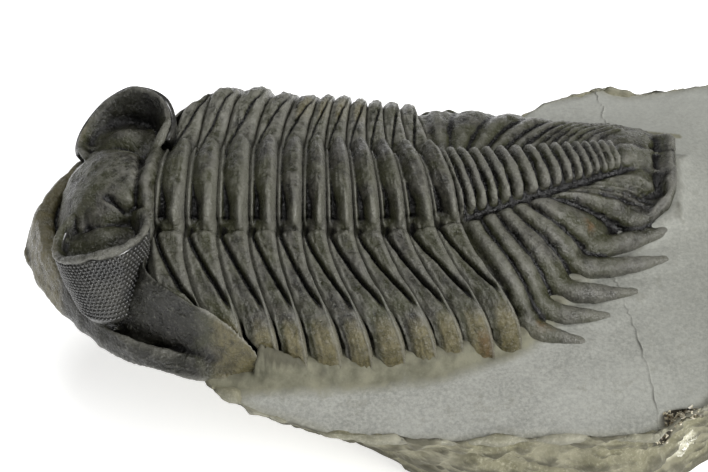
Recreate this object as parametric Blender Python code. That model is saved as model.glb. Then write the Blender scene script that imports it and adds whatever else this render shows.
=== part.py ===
"""A trilobite lying on the block of limestone that it was prepared from.

Frame: metres, +X from head to tail, +Y across, +Z up, origin under the middle of the whole
object on the flat base of the rock. Shapes are worked out in millimetres and written in metres.
"""
import math

import bmesh
import bpy
import numpy as np

MM = 0.001

# Whole object
ORIGIN_SHIFT_X = -21.0           # brings the middle of the object to x = 0
ORIGIN_SHIFT_Y = -0.4
ROCK_THICKNESS = 21.0            # flat base to the top of the slab
GAP = 0.3                        # clear space between neighbouring pieces
FLAT_ANGLE = 2.0                 # facets closer to flat than this are merged, in degrees

# Body: s runs along the middle line of the body, zero at the third thoracic ring
BEND_START = 8.0                 # the thorax starts to curve sideways here
BEND_END = 30.0
TAIL_HEADING = 17.5              # degrees that the tail points away from the line of the thorax
HEAD_BEND = (-10.5, -3.0)        # the head turns the other way between these
HEAD_HEADING = -4.0

# Thorax
RING_STATIONS = (-7.8, -4.0, -0.1, 3.3, 6.5, 9.3, 12.4, 15.5, 18.5, 21.8, 25.0)
RING_TO_EDGE = 0.75              # ridge of a ring to the back edge of its segment
HEAD_TO_THORAX = -10.9           # joint between the head and the first segment
RING_HEIGHT = 4.1
FULCRUM = 16.6                   # where the pleurae turn down
FULCRUM_DROP = 0.9
THORAX_HALF_WIDTH = 22.9
TIP_STEP = 0.25                  # each of the last four segments is this much shorter
TIP_HEIGHT = 1.0
PLEURA_SWEEP = 4.0               # how far the tips lie behind the rings
HIDDEN_TIPS = {0: 17.6, 1: 20.2, 2: 22.2}    # the first tips end against the cheeks
HIDDEN_DROP = {0: 0.2, 1: 0.5, 2: 0.8}       # and dip there by this share of their height

# Head
HEAD_HALF_WIDTH = 22.7
HEAD_WIDEST = -4.7
NOSE = -29.0
GENAL_TIP = (2.0, 21.2)
BORDER_WIDTH = 2.5
SNOUT_LENGTH = 5.0
FREE_EDGE = (-13.0, -9.5)        # the edge of the head hangs past the rock ahead of these
GLABELLA_TOP = 13.0
GLABELLA_FRONT = -24.2

# Eyes
EYE_CENTRE = (-16.8, 9.4)
EYE_TOP_RADII = (5.9, 6.1)
EYE_FOOT_CENTRE = (-16.1, 11.6)
EYE_FOOT_RADII = (3.7, 4.5)
EYE_RIM_HEIGHT = 13.0
EYE_FOOT_HEIGHT = 2.2
LENS_BAND_THICKNESS = 1.3
LENS_BAND_HALF_ANGLE = 112.0     # degrees each side of straight outwards

# Tail
TAIL_FRONT = 25.75
TAIL_LENGTH = 31.6
TAIL_OUTLINE = ((0.0, 20.9), (2.7, 20.1), (6.5, 18.2), (9.8, 15.8), (13.7, 12.9), (16.5, 10.9),
                (20.0, 9.2), (25.0, 8.4), (28.0, 7.2), (30.3, 4.6), (31.6, 0.0))
RIB_FEET = (1.4, 3.4, 5.6, 7.8, 10.3)        # where the ribs leave the axis
SPINE_ROOTS = ((4.3, 19.3), (6.6, 17.6), (10.0, 15.1), (13.7, 12.2), (16.6, 9.9))
SPINE_TIPS = ((8.6, 23.4), (13.6, 20.8), (19.6, 17.5), (25.0, 13.3), (30.6, 8.3))
SPINE_RADIUS = 1.15
FAR_SPINE_SHARE = (0.3, 0.3, 0.45, 1.0, 1.0)  # the first three on the far side are broken short
INNER_RIBS = 6
TAIL_RINGS = 14
TAIL_LINES = 10
TAIL_AXIS_LINES = 4

# Rock: corners of the top and how far the foot of the side lies inside each of them
ROCK_TOP = ((71.0, 2.0), (70.5, 19.0), (67.5, 33.2), (54.0, 30.6), (48.5, 32.0), (42.0, 29.4),
            (37.0, 25.6), (18.0, 26.2), (1.0, 24.5), (-9.0, 17.5), (-15.5, 4.0), (-14.0, -10.0),
            (-5.4, -22.4), (1.0, -27.8), (10.7, -31.6), (27.0, -32.4), (49.0, -31.4), (55.5, -25.0),
            (66.5, -17.0))
ROCK_FOOT = ((68.5, 1.5), (68.0, 17.0), (64.5, 30.0), (53.0, 28.0), (47.0, 28.5), (41.0, 26.0),
             (36.0, 23.0), (19.0, 22.0), (9.0, 18.0), (4.0, 11.5), (2.5, 2.0), (6.0, -8.0),
             (14.0, -15.5), (21.0, -20.5), (30.0, -26.0), (37.0, -29.5), (48.0, -28.5), (54.0, -22.5),
             (64.0, -15.5))
# Levels of the rock's side: depth, share of the way from the top outline to the foot, roughness
ROCK_SIDE = ((0.0, 0.0, 0.0), (0.1, 0.16, 0.6), (0.32, 0.5, 1.0), (0.6, 0.78, 1.0), (0.85, 0.95, 0.6))


def clear_scene():
    for thing in list(bpy.data.objects):
        bpy.data.objects.remove(thing, do_unlink=True)
    for mesh in list(bpy.data.meshes):
        bpy.data.meshes.remove(mesh)
    for material in list(bpy.data.materials):
        bpy.data.materials.remove(material)


def make_material(name, colour, roughness):
    material = bpy.data.materials.new(name)
    material.use_nodes = True
    shader = material.node_tree.nodes["Principled BSDF"]
    shader.inputs["Base Color"].default_value = (*colour, 1.0)
    shader.inputs["Roughness"].default_value = roughness
    shader.inputs["Metallic"].default_value = 0.0
    return material


def ease(start, end, value):
    """0 before start, 1 after end, smooth between."""
    part = np.clip((value - start) / (end - start), 0.0, 1.0)
    return part * part * (3.0 - 2.0 * part)


def hump(value, centre, width):
    return np.exp(-((value - centre) / width) ** 2)


def middle_line(s):
    """Place and heading of the body's middle line: two arcs with straight lines between."""
    s = np.asarray(s, dtype=float)
    tail = math.radians(TAIL_HEADING)
    tail_radius = (BEND_END - BEND_START) / tail
    turned = np.clip((s - BEND_START) / tail_radius, 0.0, tail)
    past = np.maximum(s - BEND_END, 0.0)
    head = math.radians(-HEAD_HEADING)
    head_radius = (HEAD_BEND[1] - HEAD_BEND[0]) / head
    nodded = np.clip((HEAD_BEND[1] - s) / head_radius, 0.0, head)
    before = np.maximum(HEAD_BEND[0] - s, 0.0)
    x = np.clip(s, HEAD_BEND[1], BEND_START) + tail_radius * np.sin(turned) + past * math.cos(tail)
    x = x - head_radius * np.sin(nodded) - before * math.cos(head)
    y = tail_radius * (1.0 - np.cos(turned)) + past * math.sin(tail)
    y = y + head_radius * (1.0 - np.cos(nodded)) + before * math.sin(head)
    return x, y, turned - nodded


def place(s, t, z):
    """From body measure (along, across, above the slab) to the object's frame in metres."""
    x, y, heading = middle_line(s)
    t = np.asarray(t, dtype=float)
    wide = x - t * np.sin(heading) + ORIGIN_SHIFT_X
    across = y + t * np.cos(heading) + ORIGIN_SHIFT_Y
    high = np.asarray(z, dtype=float) + ROCK_THICKNESS
    return np.stack(np.broadcast_arrays(wide, across, high), axis=-1) * MM


def make_object(name, points, faces, material):
    mesh = bpy.data.meshes.new(name)
    mesh.from_pydata([tuple(p) for p in np.asarray(points).reshape(-1, 3)], [], faces)
    work = bmesh.new()
    work.from_mesh(mesh)
    bmesh.ops.remove_doubles(work, verts=work.verts, dist=0.000005)
    bmesh.ops.triangulate(work, faces=[f for f in work.faces if len(f.verts) > 4])
    bmesh.ops.recalc_face_normals(work, faces=work.faces)
    work.to_mesh(mesh)
    work.free()
    mesh.materials.append(material)
    mesh.shade_smooth()
    thing = bpy.data.objects.new(name, mesh)
    bpy.context.scene.collection.objects.link(thing)
    return thing


def loft(name, rings, material):
    """Skin closed rings of the same number of points, with a flat cap at each end."""
    count, around = len(rings), len(rings[0])
    faces = []
    for i in range(count - 1):
        for j in range(around):
            k = (j + 1) % around
            faces.append((i * around + j, i * around + k, (i + 1) * around + k, (i + 1) * around + j))
    faces.append(tuple(range(around)))
    faces.append(tuple((count - 1) * around + j for j in reversed(range(around))))
    return make_object(name, np.concatenate(rings), faces, material)


def clean_facets(thing):
    """Merge the nearly flat slivers that joining leaves, and keep triangles."""
    work = bmesh.new()
    work.from_mesh(thing.data)
    bmesh.ops.remove_doubles(work, verts=work.verts, dist=0.00002)
    bmesh.ops.dissolve_limit(work, angle_limit=math.radians(FLAT_ANGLE), verts=work.verts, edges=work.edges)
    bmesh.ops.triangulate(work, faces=work.faces)
    work.to_mesh(thing.data)
    work.free()
    thing.data.shade_smooth()


def apply_boolean(target, cutter, operation):
    """Join or cut two solids and keep only the result."""
    modifier = target.modifiers.new(operation.title(), "BOOLEAN")
    modifier.operation = operation
    modifier.solver = "EXACT"
    modifier.object = cutter
    depsgraph = bpy.context.evaluated_depsgraph_get()
    result = bpy.data.meshes.new_from_object(target.evaluated_get(depsgraph))
    target.modifiers.remove(modifier)
    old = target.data
    target.data = result
    bpy.data.meshes.remove(old)
    bpy.data.objects.remove(cutter, do_unlink=True)


# Heights of the body above the slab
def axis_width(s):
    """Half width of the axial lobe, from the neck ring to the end of the tail."""
    stations = (-12.0, -7.8, 0.0, 15.0, 22.0, 25.0, 30.0, 35.0, 41.0, 47.0, 52.5)
    widths = (6.9, 7.1, 7.6, 7.3, 6.7, 6.2, 5.1, 4.3, 3.5, 2.8, 1.9)
    return np.interp(s, stations, widths)


def furrow_height(s):
    stations = (-12.0, -7.8, 0.0, 9.0, 16.0, 25.0, 36.0, 47.0, 53.0)
    heights = (8.9, 9.4, 9.9, 9.8, 9.1, 7.9, 7.5, 7.1, 6.3)
    return np.interp(s, stations, heights)


def arch(part):
    """Cross-section of the axial lobe, 1 at the middle line and 0 at the furrows."""
    return (1.0 - np.clip(np.abs(part), 0.0, 1.0) ** 2.3) ** 0.55


def pleura_profile(across, furrow, inner, outer, fulcrum):
    """Flat near the axis, then rounding down to the tip."""
    flat = np.clip((across - inner) / (fulcrum - inner), 0.0, 1.0)
    turn = np.clip((across - fulcrum) / (outer - fulcrum), 0.0, 1.0)
    top = furrow - FULCRUM_DROP * flat ** 1.6
    return TIP_HEIGHT + (top - TIP_HEIGHT) * np.sqrt(1.0 - turn ** 2.1)


# Thorax
def sweep(across, s=0.0):
    """How far back a place this far across lies; the last segments are swept back less."""
    reach = PLEURA_SWEEP - 1.0 * ease(14.0, 26.0, s)
    return reach * (np.clip(np.abs(across) - 8.0, 0.0, None) / 15.0) ** 1.5


def cheek_edge(across):
    """Back edge of the head: straight, then swung back along the cheek to the genal tip."""
    out = np.clip((np.abs(across) - 12.6) / (GENAL_TIP[1] - 12.6), 0.0, None)
    return HEAD_TO_THORAX + (GENAL_TIP[0] - HEAD_TO_THORAX) * out ** 1.8


def segment_relief(along, across, inner, fulcrum, outer):
    """Raised and sunk parts of one segment; along runs 0 to 1 from its front to its back."""
    on_axis = np.clip((inner - across) / 1.2, 0.0, 1.0)
    ring = 0.75 * hump(along, 0.82, 0.22) - 1.1 * hump(along, 0.35, 0.2) - 0.5 * hump(along, 0.0, 0.15)
    bulb = 0.6 * hump(along, 0.7, 0.25) * hump(across, inner * 0.84, 0.9)
    axial = -0.8 * hump(across, inner, 0.8)
    out = np.clip((across - inner) / (outer - inner), 0.0, 1.0)
    on_pleura = ease(0.02, 0.14, out) * (1.0 - ease(0.85, 1.0, out))
    furrow = -1.0 * hump(along, 0.38 + 0.25 * out, 0.17)
    bands = 0.45 * hump(along, 0.82, 0.2) + 0.2 * hump(along, 0.15, 0.15)
    knob = 0.7 * hump(along, 0.7, 0.25) * hump(across, inner + 1.8, 1.1)
    edge = -0.6 * (np.abs(2.0 * along - 1.0) ** 4) * ease(0.5, 0.8, out)
    return on_axis * (ring + bulb) + axial + on_pleura * (furrow + bands + edge) + knob


def across_stations(inner, fulcrum, outer):
    """Sample places from the middle line to a tip, close where the surface turns."""
    places = [0.0, 0.38 * inner, 0.7 * inner, 0.9 * inner, inner, inner + 1.6]
    places += [inner + 1.6 + (fulcrum - inner - 1.6) * k for k in (0.45, 1.0)]
    places += [fulcrum + (outer - fulcrum) * math.sin(math.radians(a)) for a in (28, 52, 74, 90)]
    return places


def make_segment(number, material):
    ridge = RING_STATIONS[number]
    front = HEAD_TO_THORAX if number == 0 else RING_STATIONS[number - 1] + RING_TO_EDGE
    back = ridge + RING_TO_EDGE
    outer = THORAX_HALF_WIDTH - TIP_STEP * max(0, number - 6)
    tip = HIDDEN_TIPS.get(number, outer)
    middle = 0.5 * (front + back)
    inner = float(axis_width(middle))
    fulcrum = FULCRUM - 0.09 * max(0, number - 6) ** 2
    furrow = float(furrow_height(middle))
    half = across_stations(inner, min(fulcrum, tip - 2.2), tip)
    alongs = np.array([0.0, 0.33, 0.58, 0.82, 1.0])
    rings = []
    for across in [-h for h in reversed(half[1:])] + half:
        size = abs(across)
        taper = ease(fulcrum - 1.0, outer, size)
        start = front + 0.5 * GAP + sweep(size, front) + 0.26 * (back - front) * taper
        start = max(start, float(cheek_edge(size)) + GAP)
        end = back - 0.5 * GAP + sweep(size, back) + 0.1 * taper
        end = max(end, start + 0.5)
        s = start + (end - start) * alongs
        if size < inner:
            height = furrow + RING_HEIGHT * arch(size / inner) + 0.0 * alongs
        else:
            height = pleura_profile(size, furrow, inner, outer, fulcrum) + 0.0 * alongs
        height = height + segment_relief(alongs, size, inner, fulcrum, outer)
        dip = HIDDEN_DROP.get(number, 0.0) * float(ease(tip - 2.4, tip, size))
        height = height - dip * (height - TIP_HEIGHT)
        height = np.maximum(height, TIP_HEIGHT - 0.1)
        top = place(s, across, height)
        low = place(np.array([s[-1], s[0]]), across, np.array([GAP, GAP]))
        rings.append(np.concatenate([top, low]))
    return loft(f"thorax_segment_{number + 1:02d}", rings, material)


# Head
def front_edge(turn):
    """Outer edge of the head from the nose (0) round the cheek to the genal tip (1)."""
    if turn < 0.86:
        angle = 0.5 * math.pi * turn / 0.86
        x = HEAD_WIDEST - (HEAD_WIDEST - NOSE) * math.cos(angle) ** (2.0 / 1.4)
        y = HEAD_HALF_WIDTH * math.sin(angle) ** (2.0 / 1.6)
        return x, y
    part = (turn - 0.86) / 0.14
    x = HEAD_WIDEST + (GENAL_TIP[0] - HEAD_WIDEST) * part
    y = HEAD_HALF_WIDTH + (GENAL_TIP[1] - HEAD_HALF_WIDTH) * part ** 1.6
    return x, y


def back_edge(turn):
    y = GENAL_TIP[1] * turn
    return float(cheek_edge(y)), y


def edge_distance(x, across):
    """Distance in mm from the outer edge of the head, worked from its implicit curve."""
    ahead = np.clip((HEAD_WIDEST - x) / (HEAD_WIDEST - NOSE), 0.0, None)
    wide = across / HEAD_HALF_WIDTH
    value = 1.0 - ahead ** 1.4 - wide ** 1.6
    slope_x = 1.4 * np.maximum(ahead, 0.02) ** 0.4 / (HEAD_WIDEST - NOSE)
    slope_y = 1.6 * np.maximum(wide, 0.02) ** 0.6 / HEAD_HALF_WIDTH
    slope_x = np.where(ahead > 0.0, slope_x, 0.0)
    return value / np.hypot(slope_x, slope_y)


def glabella_width(x):
    stations = (-24.2, -23.4, -22.0, -19.6, -17.0, -14.2, -13.0, -11.9, -10.9)
    widths = (1.5, 4.6, 7.2, 8.8, 8.0, 6.2, 5.9, 6.9, 7.0)
    return np.interp(x, stations, widths)


def head_height(x, y):
    """Height of the head shield above the slab, without the eye towers."""
    t = np.abs(y)
    edge = edge_distance(x, t)
    cheek_top = np.interp(x, (-27.0, -22.0, -15.0, -11.0, 2.0), (2.4, 3.0, 7.6, 9.3, 9.3))
    side = np.clip((t - 14.0) / (21.6 - 14.0), 0.0, 1.0)
    cheek = 1.2 + (cheek_top - 1.2) * np.sqrt(1.0 - side ** 2.0)
    cheek = np.minimum(cheek, 0.9 + 2.0 * np.clip(edge - 1.7, 0.0, None))
    forward = ease(-20.0, -24.0, x)
    width = BORDER_WIDTH + (SNOUT_LENGTH - BORDER_WIDTH) * forward
    rim_top = 1.9 + 2.1 * forward
    across_rim = np.clip(edge / width, 0.0, 1.0)
    rim = -0.5 + (rim_top + 0.5) * np.sin(math.pi * np.clip(across_rim, 0.0, 1.0) ** 0.8) ** 0.7
    blend = ease(0.78, 1.1, edge / width)
    ground = rim * (1.0 - blend) + np.maximum(cheek, 0.9) * blend
    half = glabella_width(x)
    ahead = np.clip((-14.0 - x) / (-14.0 - GLABELLA_FRONT), 0.0, 1.0)
    foot = np.interp(x, (-24.2, -20.0, -12.0), (2.6, 4.6, 8.6))
    top = 3.4 + (GLABELLA_TOP - 3.4) * np.sqrt(1.0 - ahead ** 2.3)
    inside = np.clip(t / half, 0.0, 1.0)
    lobe = foot + (top - foot) * (1.0 - inside ** 2.6) ** 0.55
    lobe = lobe - 1.5 * hump(x, -13.3, 0.55) * (0.5 + 0.5 * inside)
    lobe = lobe - 0.5 * hump(x, -11.0, 0.5)
    slot_1 = hump(x + 14.6 - 0.3 * t, 0.0, 0.5) * ease(0.35, 0.6, inside)
    slot_2 = hump(x + 17.8 - 0.35 * t, 0.0, 0.5) * ease(0.35, 0.6, inside)
    slot_3 = hump(x + 20.6 - 0.1 * t, 0.0, 0.45) * ease(0.4, 0.7, inside)
    lobe = lobe - 1.6 * slot_1 - 1.3 * slot_2 - 0.7 * slot_3
    on_lobe = (t < half) & (x > GLABELLA_FRONT)
    trench = hump(t, half + 0.3, 1.1) * ease(GLABELLA_FRONT - 0.5, -22.5, x) * (1.0 - ease(-12.5, -11.0, x))
    ground = np.where(on_lobe, lobe, ground - 1.8 * trench * (1.0 - on_lobe))
    hind = 0.5 * hump(x, cheek_edge(t) + 1.0, 0.8) - 0.9 * hump(x, cheek_edge(t) + 2.6, 0.8)
    return ground + hind * (t > half) * ease(0.0, 4.0, edge)


def eye_place(angle, level, side, offset):
    """A point of the eye cone; level 0 at its foot and 1 at its rim, angle 0 straight out."""
    bow = level ** 0.8
    cx = EYE_FOOT_CENTRE[0] + (EYE_CENTRE[0] - EYE_FOOT_CENTRE[0]) * bow
    cy = EYE_FOOT_CENTRE[1] + (EYE_CENTRE[1] - EYE_FOOT_CENTRE[1]) * bow
    rx = EYE_FOOT_RADII[0] + (EYE_TOP_RADII[0] - EYE_FOOT_RADII[0]) * bow + offset
    ry = EYE_FOOT_RADII[1] + (EYE_TOP_RADII[1] - EYE_FOOT_RADII[1]) * bow + offset
    x = cx + rx * np.sin(angle)
    y = side * (cy + ry * np.cos(angle))
    return x, y


def rim_height(angle):
    """The rim is high at the side and back and falls towards the glabella and the front."""
    x = EYE_CENTRE[0] + EYE_TOP_RADII[0] * np.sin(angle)
    high = np.interp(x, (-22.7, -19.8, -16.9, -12.1, -10.9), (8.8, 11.3, EYE_RIM_HEIGHT, 13.4, 12.8))
    inward = ease(95.0, 165.0, np.abs(np.degrees(angle)))
    return high - inward * (high - 9.2)


def eye_ring(side, level, offset, lower, steps):
    angles = np.linspace(-math.pi, math.pi, steps, endpoint=False)
    x, y = eye_place(angles, level, side, offset)
    z = EYE_FOOT_HEIGHT + (rim_height(angles) - EYE_FOOT_HEIGHT) * level - lower
    return x, y, z


def make_tower(side, material):
    """The raised stalk under a palpebral lobe: flared wall, rounded rim and hollow top."""
    steps = 22
    rings = []
    for level, offset, lower in ((0.0, -0.4, 0.9), (0.3, -0.3, 0.0), (0.65, -0.3, 0.0), (0.86, -0.3, 0.0),
                                 (0.93, 0.35, 0.0), (1.0, 0.3, 0.0), (1.0, -0.7, -0.25), (1.0, -1.8, 0.8),
                                 (1.0, -3.2, 2.6), (1.0, -4.6, 2.7)):
        x, y, z = eye_ring(side, level, offset, lower, steps)
        rings.append(place(x, y, z))
    return loft("tower", rings, material)


def eye_band(name, side, grow, material):
    """The lens-bearing wall: a curved band round the outer side of the tower."""
    half = math.radians(LENS_BAND_HALF_ANGLE) + grow / 5.0
    angles = np.linspace(-half, half, 17)
    levels = np.linspace(0.16, 0.86, 6)
    rings = []
    for angle in angles:
        outer = []
        inner = []
        for number, level in enumerate(levels):
            bulge = 0.25 * math.sin(math.pi * number / 5.0)
            high = EYE_FOOT_HEIGHT + (float(rim_height(angle)) - EYE_FOOT_HEIGHT) * level
            if number == 0:
                high -= grow
            if number == 5:
                high += grow
            x, y = eye_place(angle, level, side, bulge + grow)
            outer.append(place(x, y, high))
            if number % 5 == 0:
                x, y = eye_place(angle, level, side, -LENS_BAND_THICKNESS - grow)
                inner.append(place(x, y, high))
        rings.append(np.array(outer + inner[::-1]))
    return loft(name, rings, material)


def head_column(turn):
    """The two ends of a line across the head, from its back edge to its outer edge."""
    size = min(abs(turn), 0.985)
    side = math.copysign(1.0, turn)
    return back_edge(size), front_edge(size), side


def make_head(material, eye_material):
    rows, columns = 13, 17
    turns = [math.sin(0.5 * math.pi * k / (columns - 1)) ** 0.9 for k in range(columns)]
    turns = [-value for value in reversed(turns[1:])] + turns
    grid = []
    under = []
    for turn in turns:
        (back_x, back_y), (front_x, front_y), side = head_column(turn)
        column = []
        for i in range(rows):
            part = (i / (rows - 1)) ** 0.92
            x = back_x + (front_x - back_x) * part
            y = back_y + (front_y - back_y) * part
            lowest = float(np.interp(x, FREE_EDGE, (-0.5, GAP + 0.6)))
            high = max(float(head_height(np.array(x), np.array(y))), lowest)
            column.append(place(x, side * y, high))
        grid.append(column)
        lip = []
        for part in (0.985, 0.86, 0.0):
            x = back_x + (front_x - back_x) * part
            y = back_y + (front_y - back_y) * part
            low = float(np.interp(x, FREE_EDGE, (-1.3, GAP))) if part > 0.9 else GAP
            lip.append(place(x, side * y, low))
        under.append(lip)
    points = [point for column in grid for point in column] + [point for lip in under for point in lip]
    lines = len(turns)
    base = lines * rows

    def loop(j):
        """Closed line of point numbers round column j: over the top and back underneath."""
        return [j * rows + i for i in range(rows)] + [base + 3 * j + k for k in range(3)]

    faces = []
    for j in range(lines - 1):
        here, there = loop(j), loop(j + 1)
        for k in range(rows + 3):
            n = (k + 1) % (rows + 3)
            faces.append((here[k], there[k], there[n], here[n]))
    faces.append(tuple(reversed(loop(0))))
    faces.append(tuple(loop(lines - 1)))
    head = make_object("cephalon", points, faces, material)
    for side, name in ((-1.0, "left_eye"), (1.0, "right_eye")):
        apply_boolean(head, make_tower(side, material), "UNION")
    for side, name in ((-1.0, "left_eye"), (1.0, "right_eye")):
        apply_boolean(head, eye_band("socket", side, GAP, material), "DIFFERENCE")
        eye_band(name, side, 0.0, eye_material)
    clean_facets(head)
    return head


# Tail
def tail_width(s):
    along = np.array([station[0] for station in TAIL_OUTLINE])
    width = np.array([station[1] for station in TAIL_OUTLINE])
    return np.interp(s, along, width)


def rib_relief(s, t, inner):
    """Ribs of the tail run out from the axis and swing back: first five end in the spines."""
    total = 0.0
    for number in range(len(RIB_FEET)):
        root_s, root_t = SPINE_ROOTS[number]
        out = np.clip((t - inner) / (root_t - inner), 0.0, 1.15)
        middle = RIB_FEET[number] + (root_s - RIB_FEET[number]) * out ** 1.9
        total = total + 0.85 * hump(s, middle, 0.62) * ease(0.0, 0.2, out)
    for number in range(INNER_RIBS):
        foot = 12.8 + 2.1 * number
        out = np.clip((t - inner) / 6.5, 0.0, 1.3)
        middle = foot + (6.3 - 0.35 * number) * out ** 1.2
        total = total + 0.35 * hump(s, middle, 0.45) * ease(0.0, 0.2, out)
    return total


def tail_height(s, t, ring_lift=0.0):
    """Height above the slab of the tail shield at s mm behind its front and t mm across."""
    whole = s + TAIL_FRONT
    inner = axis_width(whole)
    furrow = furrow_height(whole)
    outer = np.maximum(tail_width(s), inner + 0.5)
    out = np.clip((t - inner) / (outer - inner), 0.0, 1.0)
    bow = 2.9 - 1.4 * ease(2.0, 16.0, s)
    ending = 1.0 - ease(25.2, TAIL_LENGTH + 0.3, s)
    field = 1.1 + (furrow - 1.1) * (1.0 - out ** bow)
    rise = np.interp(s, (0.0, 12.0, 22.0, 26.0), (3.7, 2.6, 1.8, 1.0))
    lobe = furrow + (rise + ring_lift) * arch(t / inner)
    height = np.where(t < inner, lobe, field + rib_relief(s, t, inner)) - 0.5 * hump(t, inner, 0.7)
    return 1.1 + (height - 1.1) * ending


def rib_line(number, part, share=1.0):
    """Middle line of a rib and its spine: 0 at the axis, 0.5 at the margin, 1 at the tip."""
    foot_s = RIB_FEET[number]
    foot_t = float(axis_width(foot_s + TAIL_FRONT)) + 0.4
    root_s, root_t = SPINE_ROOTS[number]
    tip_s, tip_t = SPINE_TIPS[number]
    if part < 0.5:
        k = part / 0.5
        bow = k ** 1.9
        return foot_s + (root_s - foot_s) * bow, foot_t + (root_t - foot_t) * k
    k = (part - 0.5) / 0.5 * share
    lean = math.sin(math.pi * k) * 0.5
    return root_s + (tip_s - root_s) * k - lean * 0.3, root_t + (tip_t - root_t) * k + lean


def make_spine(number, side, material):
    """A tapering spine that carries a rib on past the margin of the tail shield."""
    parts = (0.42, 0.5, 0.62, 0.76, 0.9, 1.0)
    share = FAR_SPINE_SHARE[number] if side > 0.0 else 1.0
    rings = []
    for part in parts:
        s, t = rib_line(number, part, share)
        ahead = rib_line(number, min(part + 0.02, 1.0), share)
        behind = rib_line(number, max(part - 0.02, 0.0), share)
        ds, dt = ahead[0] - behind[0], ahead[1] - behind[1]
        length = math.hypot(ds, dt)
        ns, nt = -dt / length, ds / length
        size = SPINE_RADIUS * (1.0 - 0.75 * ease(0.5, 1.0, part))
        if part < 0.5:
            base = float(tail_height(np.array(s), np.array(t))) - 0.35 * size
        else:
            k = (part - 0.5) / 0.5
            root_s, root_t = SPINE_ROOTS[number]
            start = float(tail_height(np.array(root_s), np.array(root_t))) - 0.35 * SPINE_RADIUS
            base = start + (GAP + 0.75 - start) * ease(-0.15, 0.9, k) + 0.3 * math.sin(math.pi * k)
        ring = []
        for step in range(5):
            angle = 2.0 * math.pi * step / 5.0 + 0.5 * math.pi
            wide = size * math.cos(angle)
            high = max(base + size * 0.85 * math.sin(angle), GAP + 0.02)
            ring.append(place(TAIL_FRONT + s + ns * wide, side * (t + nt * wide), high))
        rings.append(np.array(ring))
    return loft("spine", rings, material)


def tail_column(number, part):
    """Lines down the tail: four on each half of the axis, then six across the ribs."""
    corner = 20.1
    if number < TAIL_AXIS_LINES:
        share = (0.0, 0.5, 0.85, 1.05)[number]
        front_t = share * float(axis_width(TAIL_FRONT))
        back_t = 1.3 * number
        back_s = TAIL_LENGTH - 0.12 * number ** 2
    else:
        share = (number - TAIL_AXIS_LINES + 1) / (TAIL_LINES - TAIL_AXIS_LINES)
        share = min(share, 0.98)
        front_t = float(axis_width(TAIL_FRONT)) + 0.3
        front_t += (corner - front_t) * share
        back_s = 30.3 - (30.3 - 3.1) * share ** 1.1
        back_t = float(tail_width(back_s))
    front_s = float(sweep(front_t, TAIL_FRONT)) + 0.5 * GAP
    s = front_s + (back_s - front_s) * part
    t = front_t + (back_t - front_t) * part
    if number < TAIL_AXIS_LINES:
        follow = 1.0 - ease(0.78, 0.97, part)
        t += (share * float(axis_width(TAIL_FRONT + s)) - t) * follow
    return s, t


def make_tail(material):
    rows = 2 * TAIL_RINGS + 1
    turns = list(range(-TAIL_LINES + 1, TAIL_LINES))
    points, faces, index = [], [], {}
    for j, turn in enumerate(turns):
        side = math.copysign(1.0, turn)
        for i in range(rows):
            s, t = tail_column(abs(turn), i / (rows - 1))
            index[i, j] = len(points)
            lift = 0.35 if i % 2 == 1 else -0.3
            high = max(float(tail_height(np.array(s), np.array(t), lift)), GAP + 0.6)
            points.append(place(TAIL_FRONT + s, side * t, high))
    last = len(turns) - 1
    for j in range(last):
        for i in range(rows - 1):
            faces.append((index[i, j], index[i + 1, j], index[i + 1, j + 1], index[i, j + 1]))
    loop = [index[0, j] for j in range(last + 1)] + [index[i, last] for i in range(1, rows)]
    loop += [index[rows - 1, j] for j in reversed(range(last))]
    loop += [index[i, 0] for i in reversed(range(1, rows - 1))]
    low = []
    for number in loop:
        x, y, z = points[number]
        low.append(len(points))
        points.append(np.array((x, y, (ROCK_THICKNESS + GAP) * MM)))
    for k in range(len(loop)):
        n = (k + 1) % len(loop)
        faces.append((loop[k], loop[n], low[n], low[k]))
    faces.append(tuple(reversed(low)))
    tail = make_object("pygidium", points, faces, material)
    for number in range(len(RIB_FEET)):
        for side in (-1.0, 1.0):
            apply_boolean(tail, make_spine(number, side, material), "UNION")
    clean_facets(tail)
    return tail


# Rock
def matched_outlines(per_side):
    """Points on the top and foot outlines, the same number between each pair of corners."""
    outlines = []
    for corners in (ROCK_TOP, ROCK_FOOT):
        points = []
        for k in range(len(corners)):
            a = np.array(corners[k], dtype=float)
            b = np.array(corners[(k + 1) % len(corners)], dtype=float)
            for step in range(per_side):
                points.append(a + (b - a) * step / per_side)
        outlines.append(np.array(points))
    return outlines


def ruggedness(x, y, z):
    """Broken-rock unevenness from a few crossed waves."""
    coarse = np.sin(0.41 * x + 1.3 * z) + np.sin(0.53 * y - 0.37 * z + 1.1) + np.sin(0.29 * (x - y) + 0.9 * z)
    fine = np.sin(1.31 * x - 0.8 * z + 0.4) * np.sin(1.17 * y + 0.7 * z)
    return 0.35 * coarse + 0.3 * fine


def slab_height(x, y):
    """The top of the slab lies level under the body and sinks a little towards its edges."""
    clear = np.hypot((x - 26.0) / 1.45, y - 1.0)
    dip = -0.5 + 0.35 * np.sin(0.21 * x + 0.5) + 0.3 * np.sin(0.27 * y)
    return np.minimum(dip * ease(25.0, 33.0, clear), 0.0)


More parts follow.
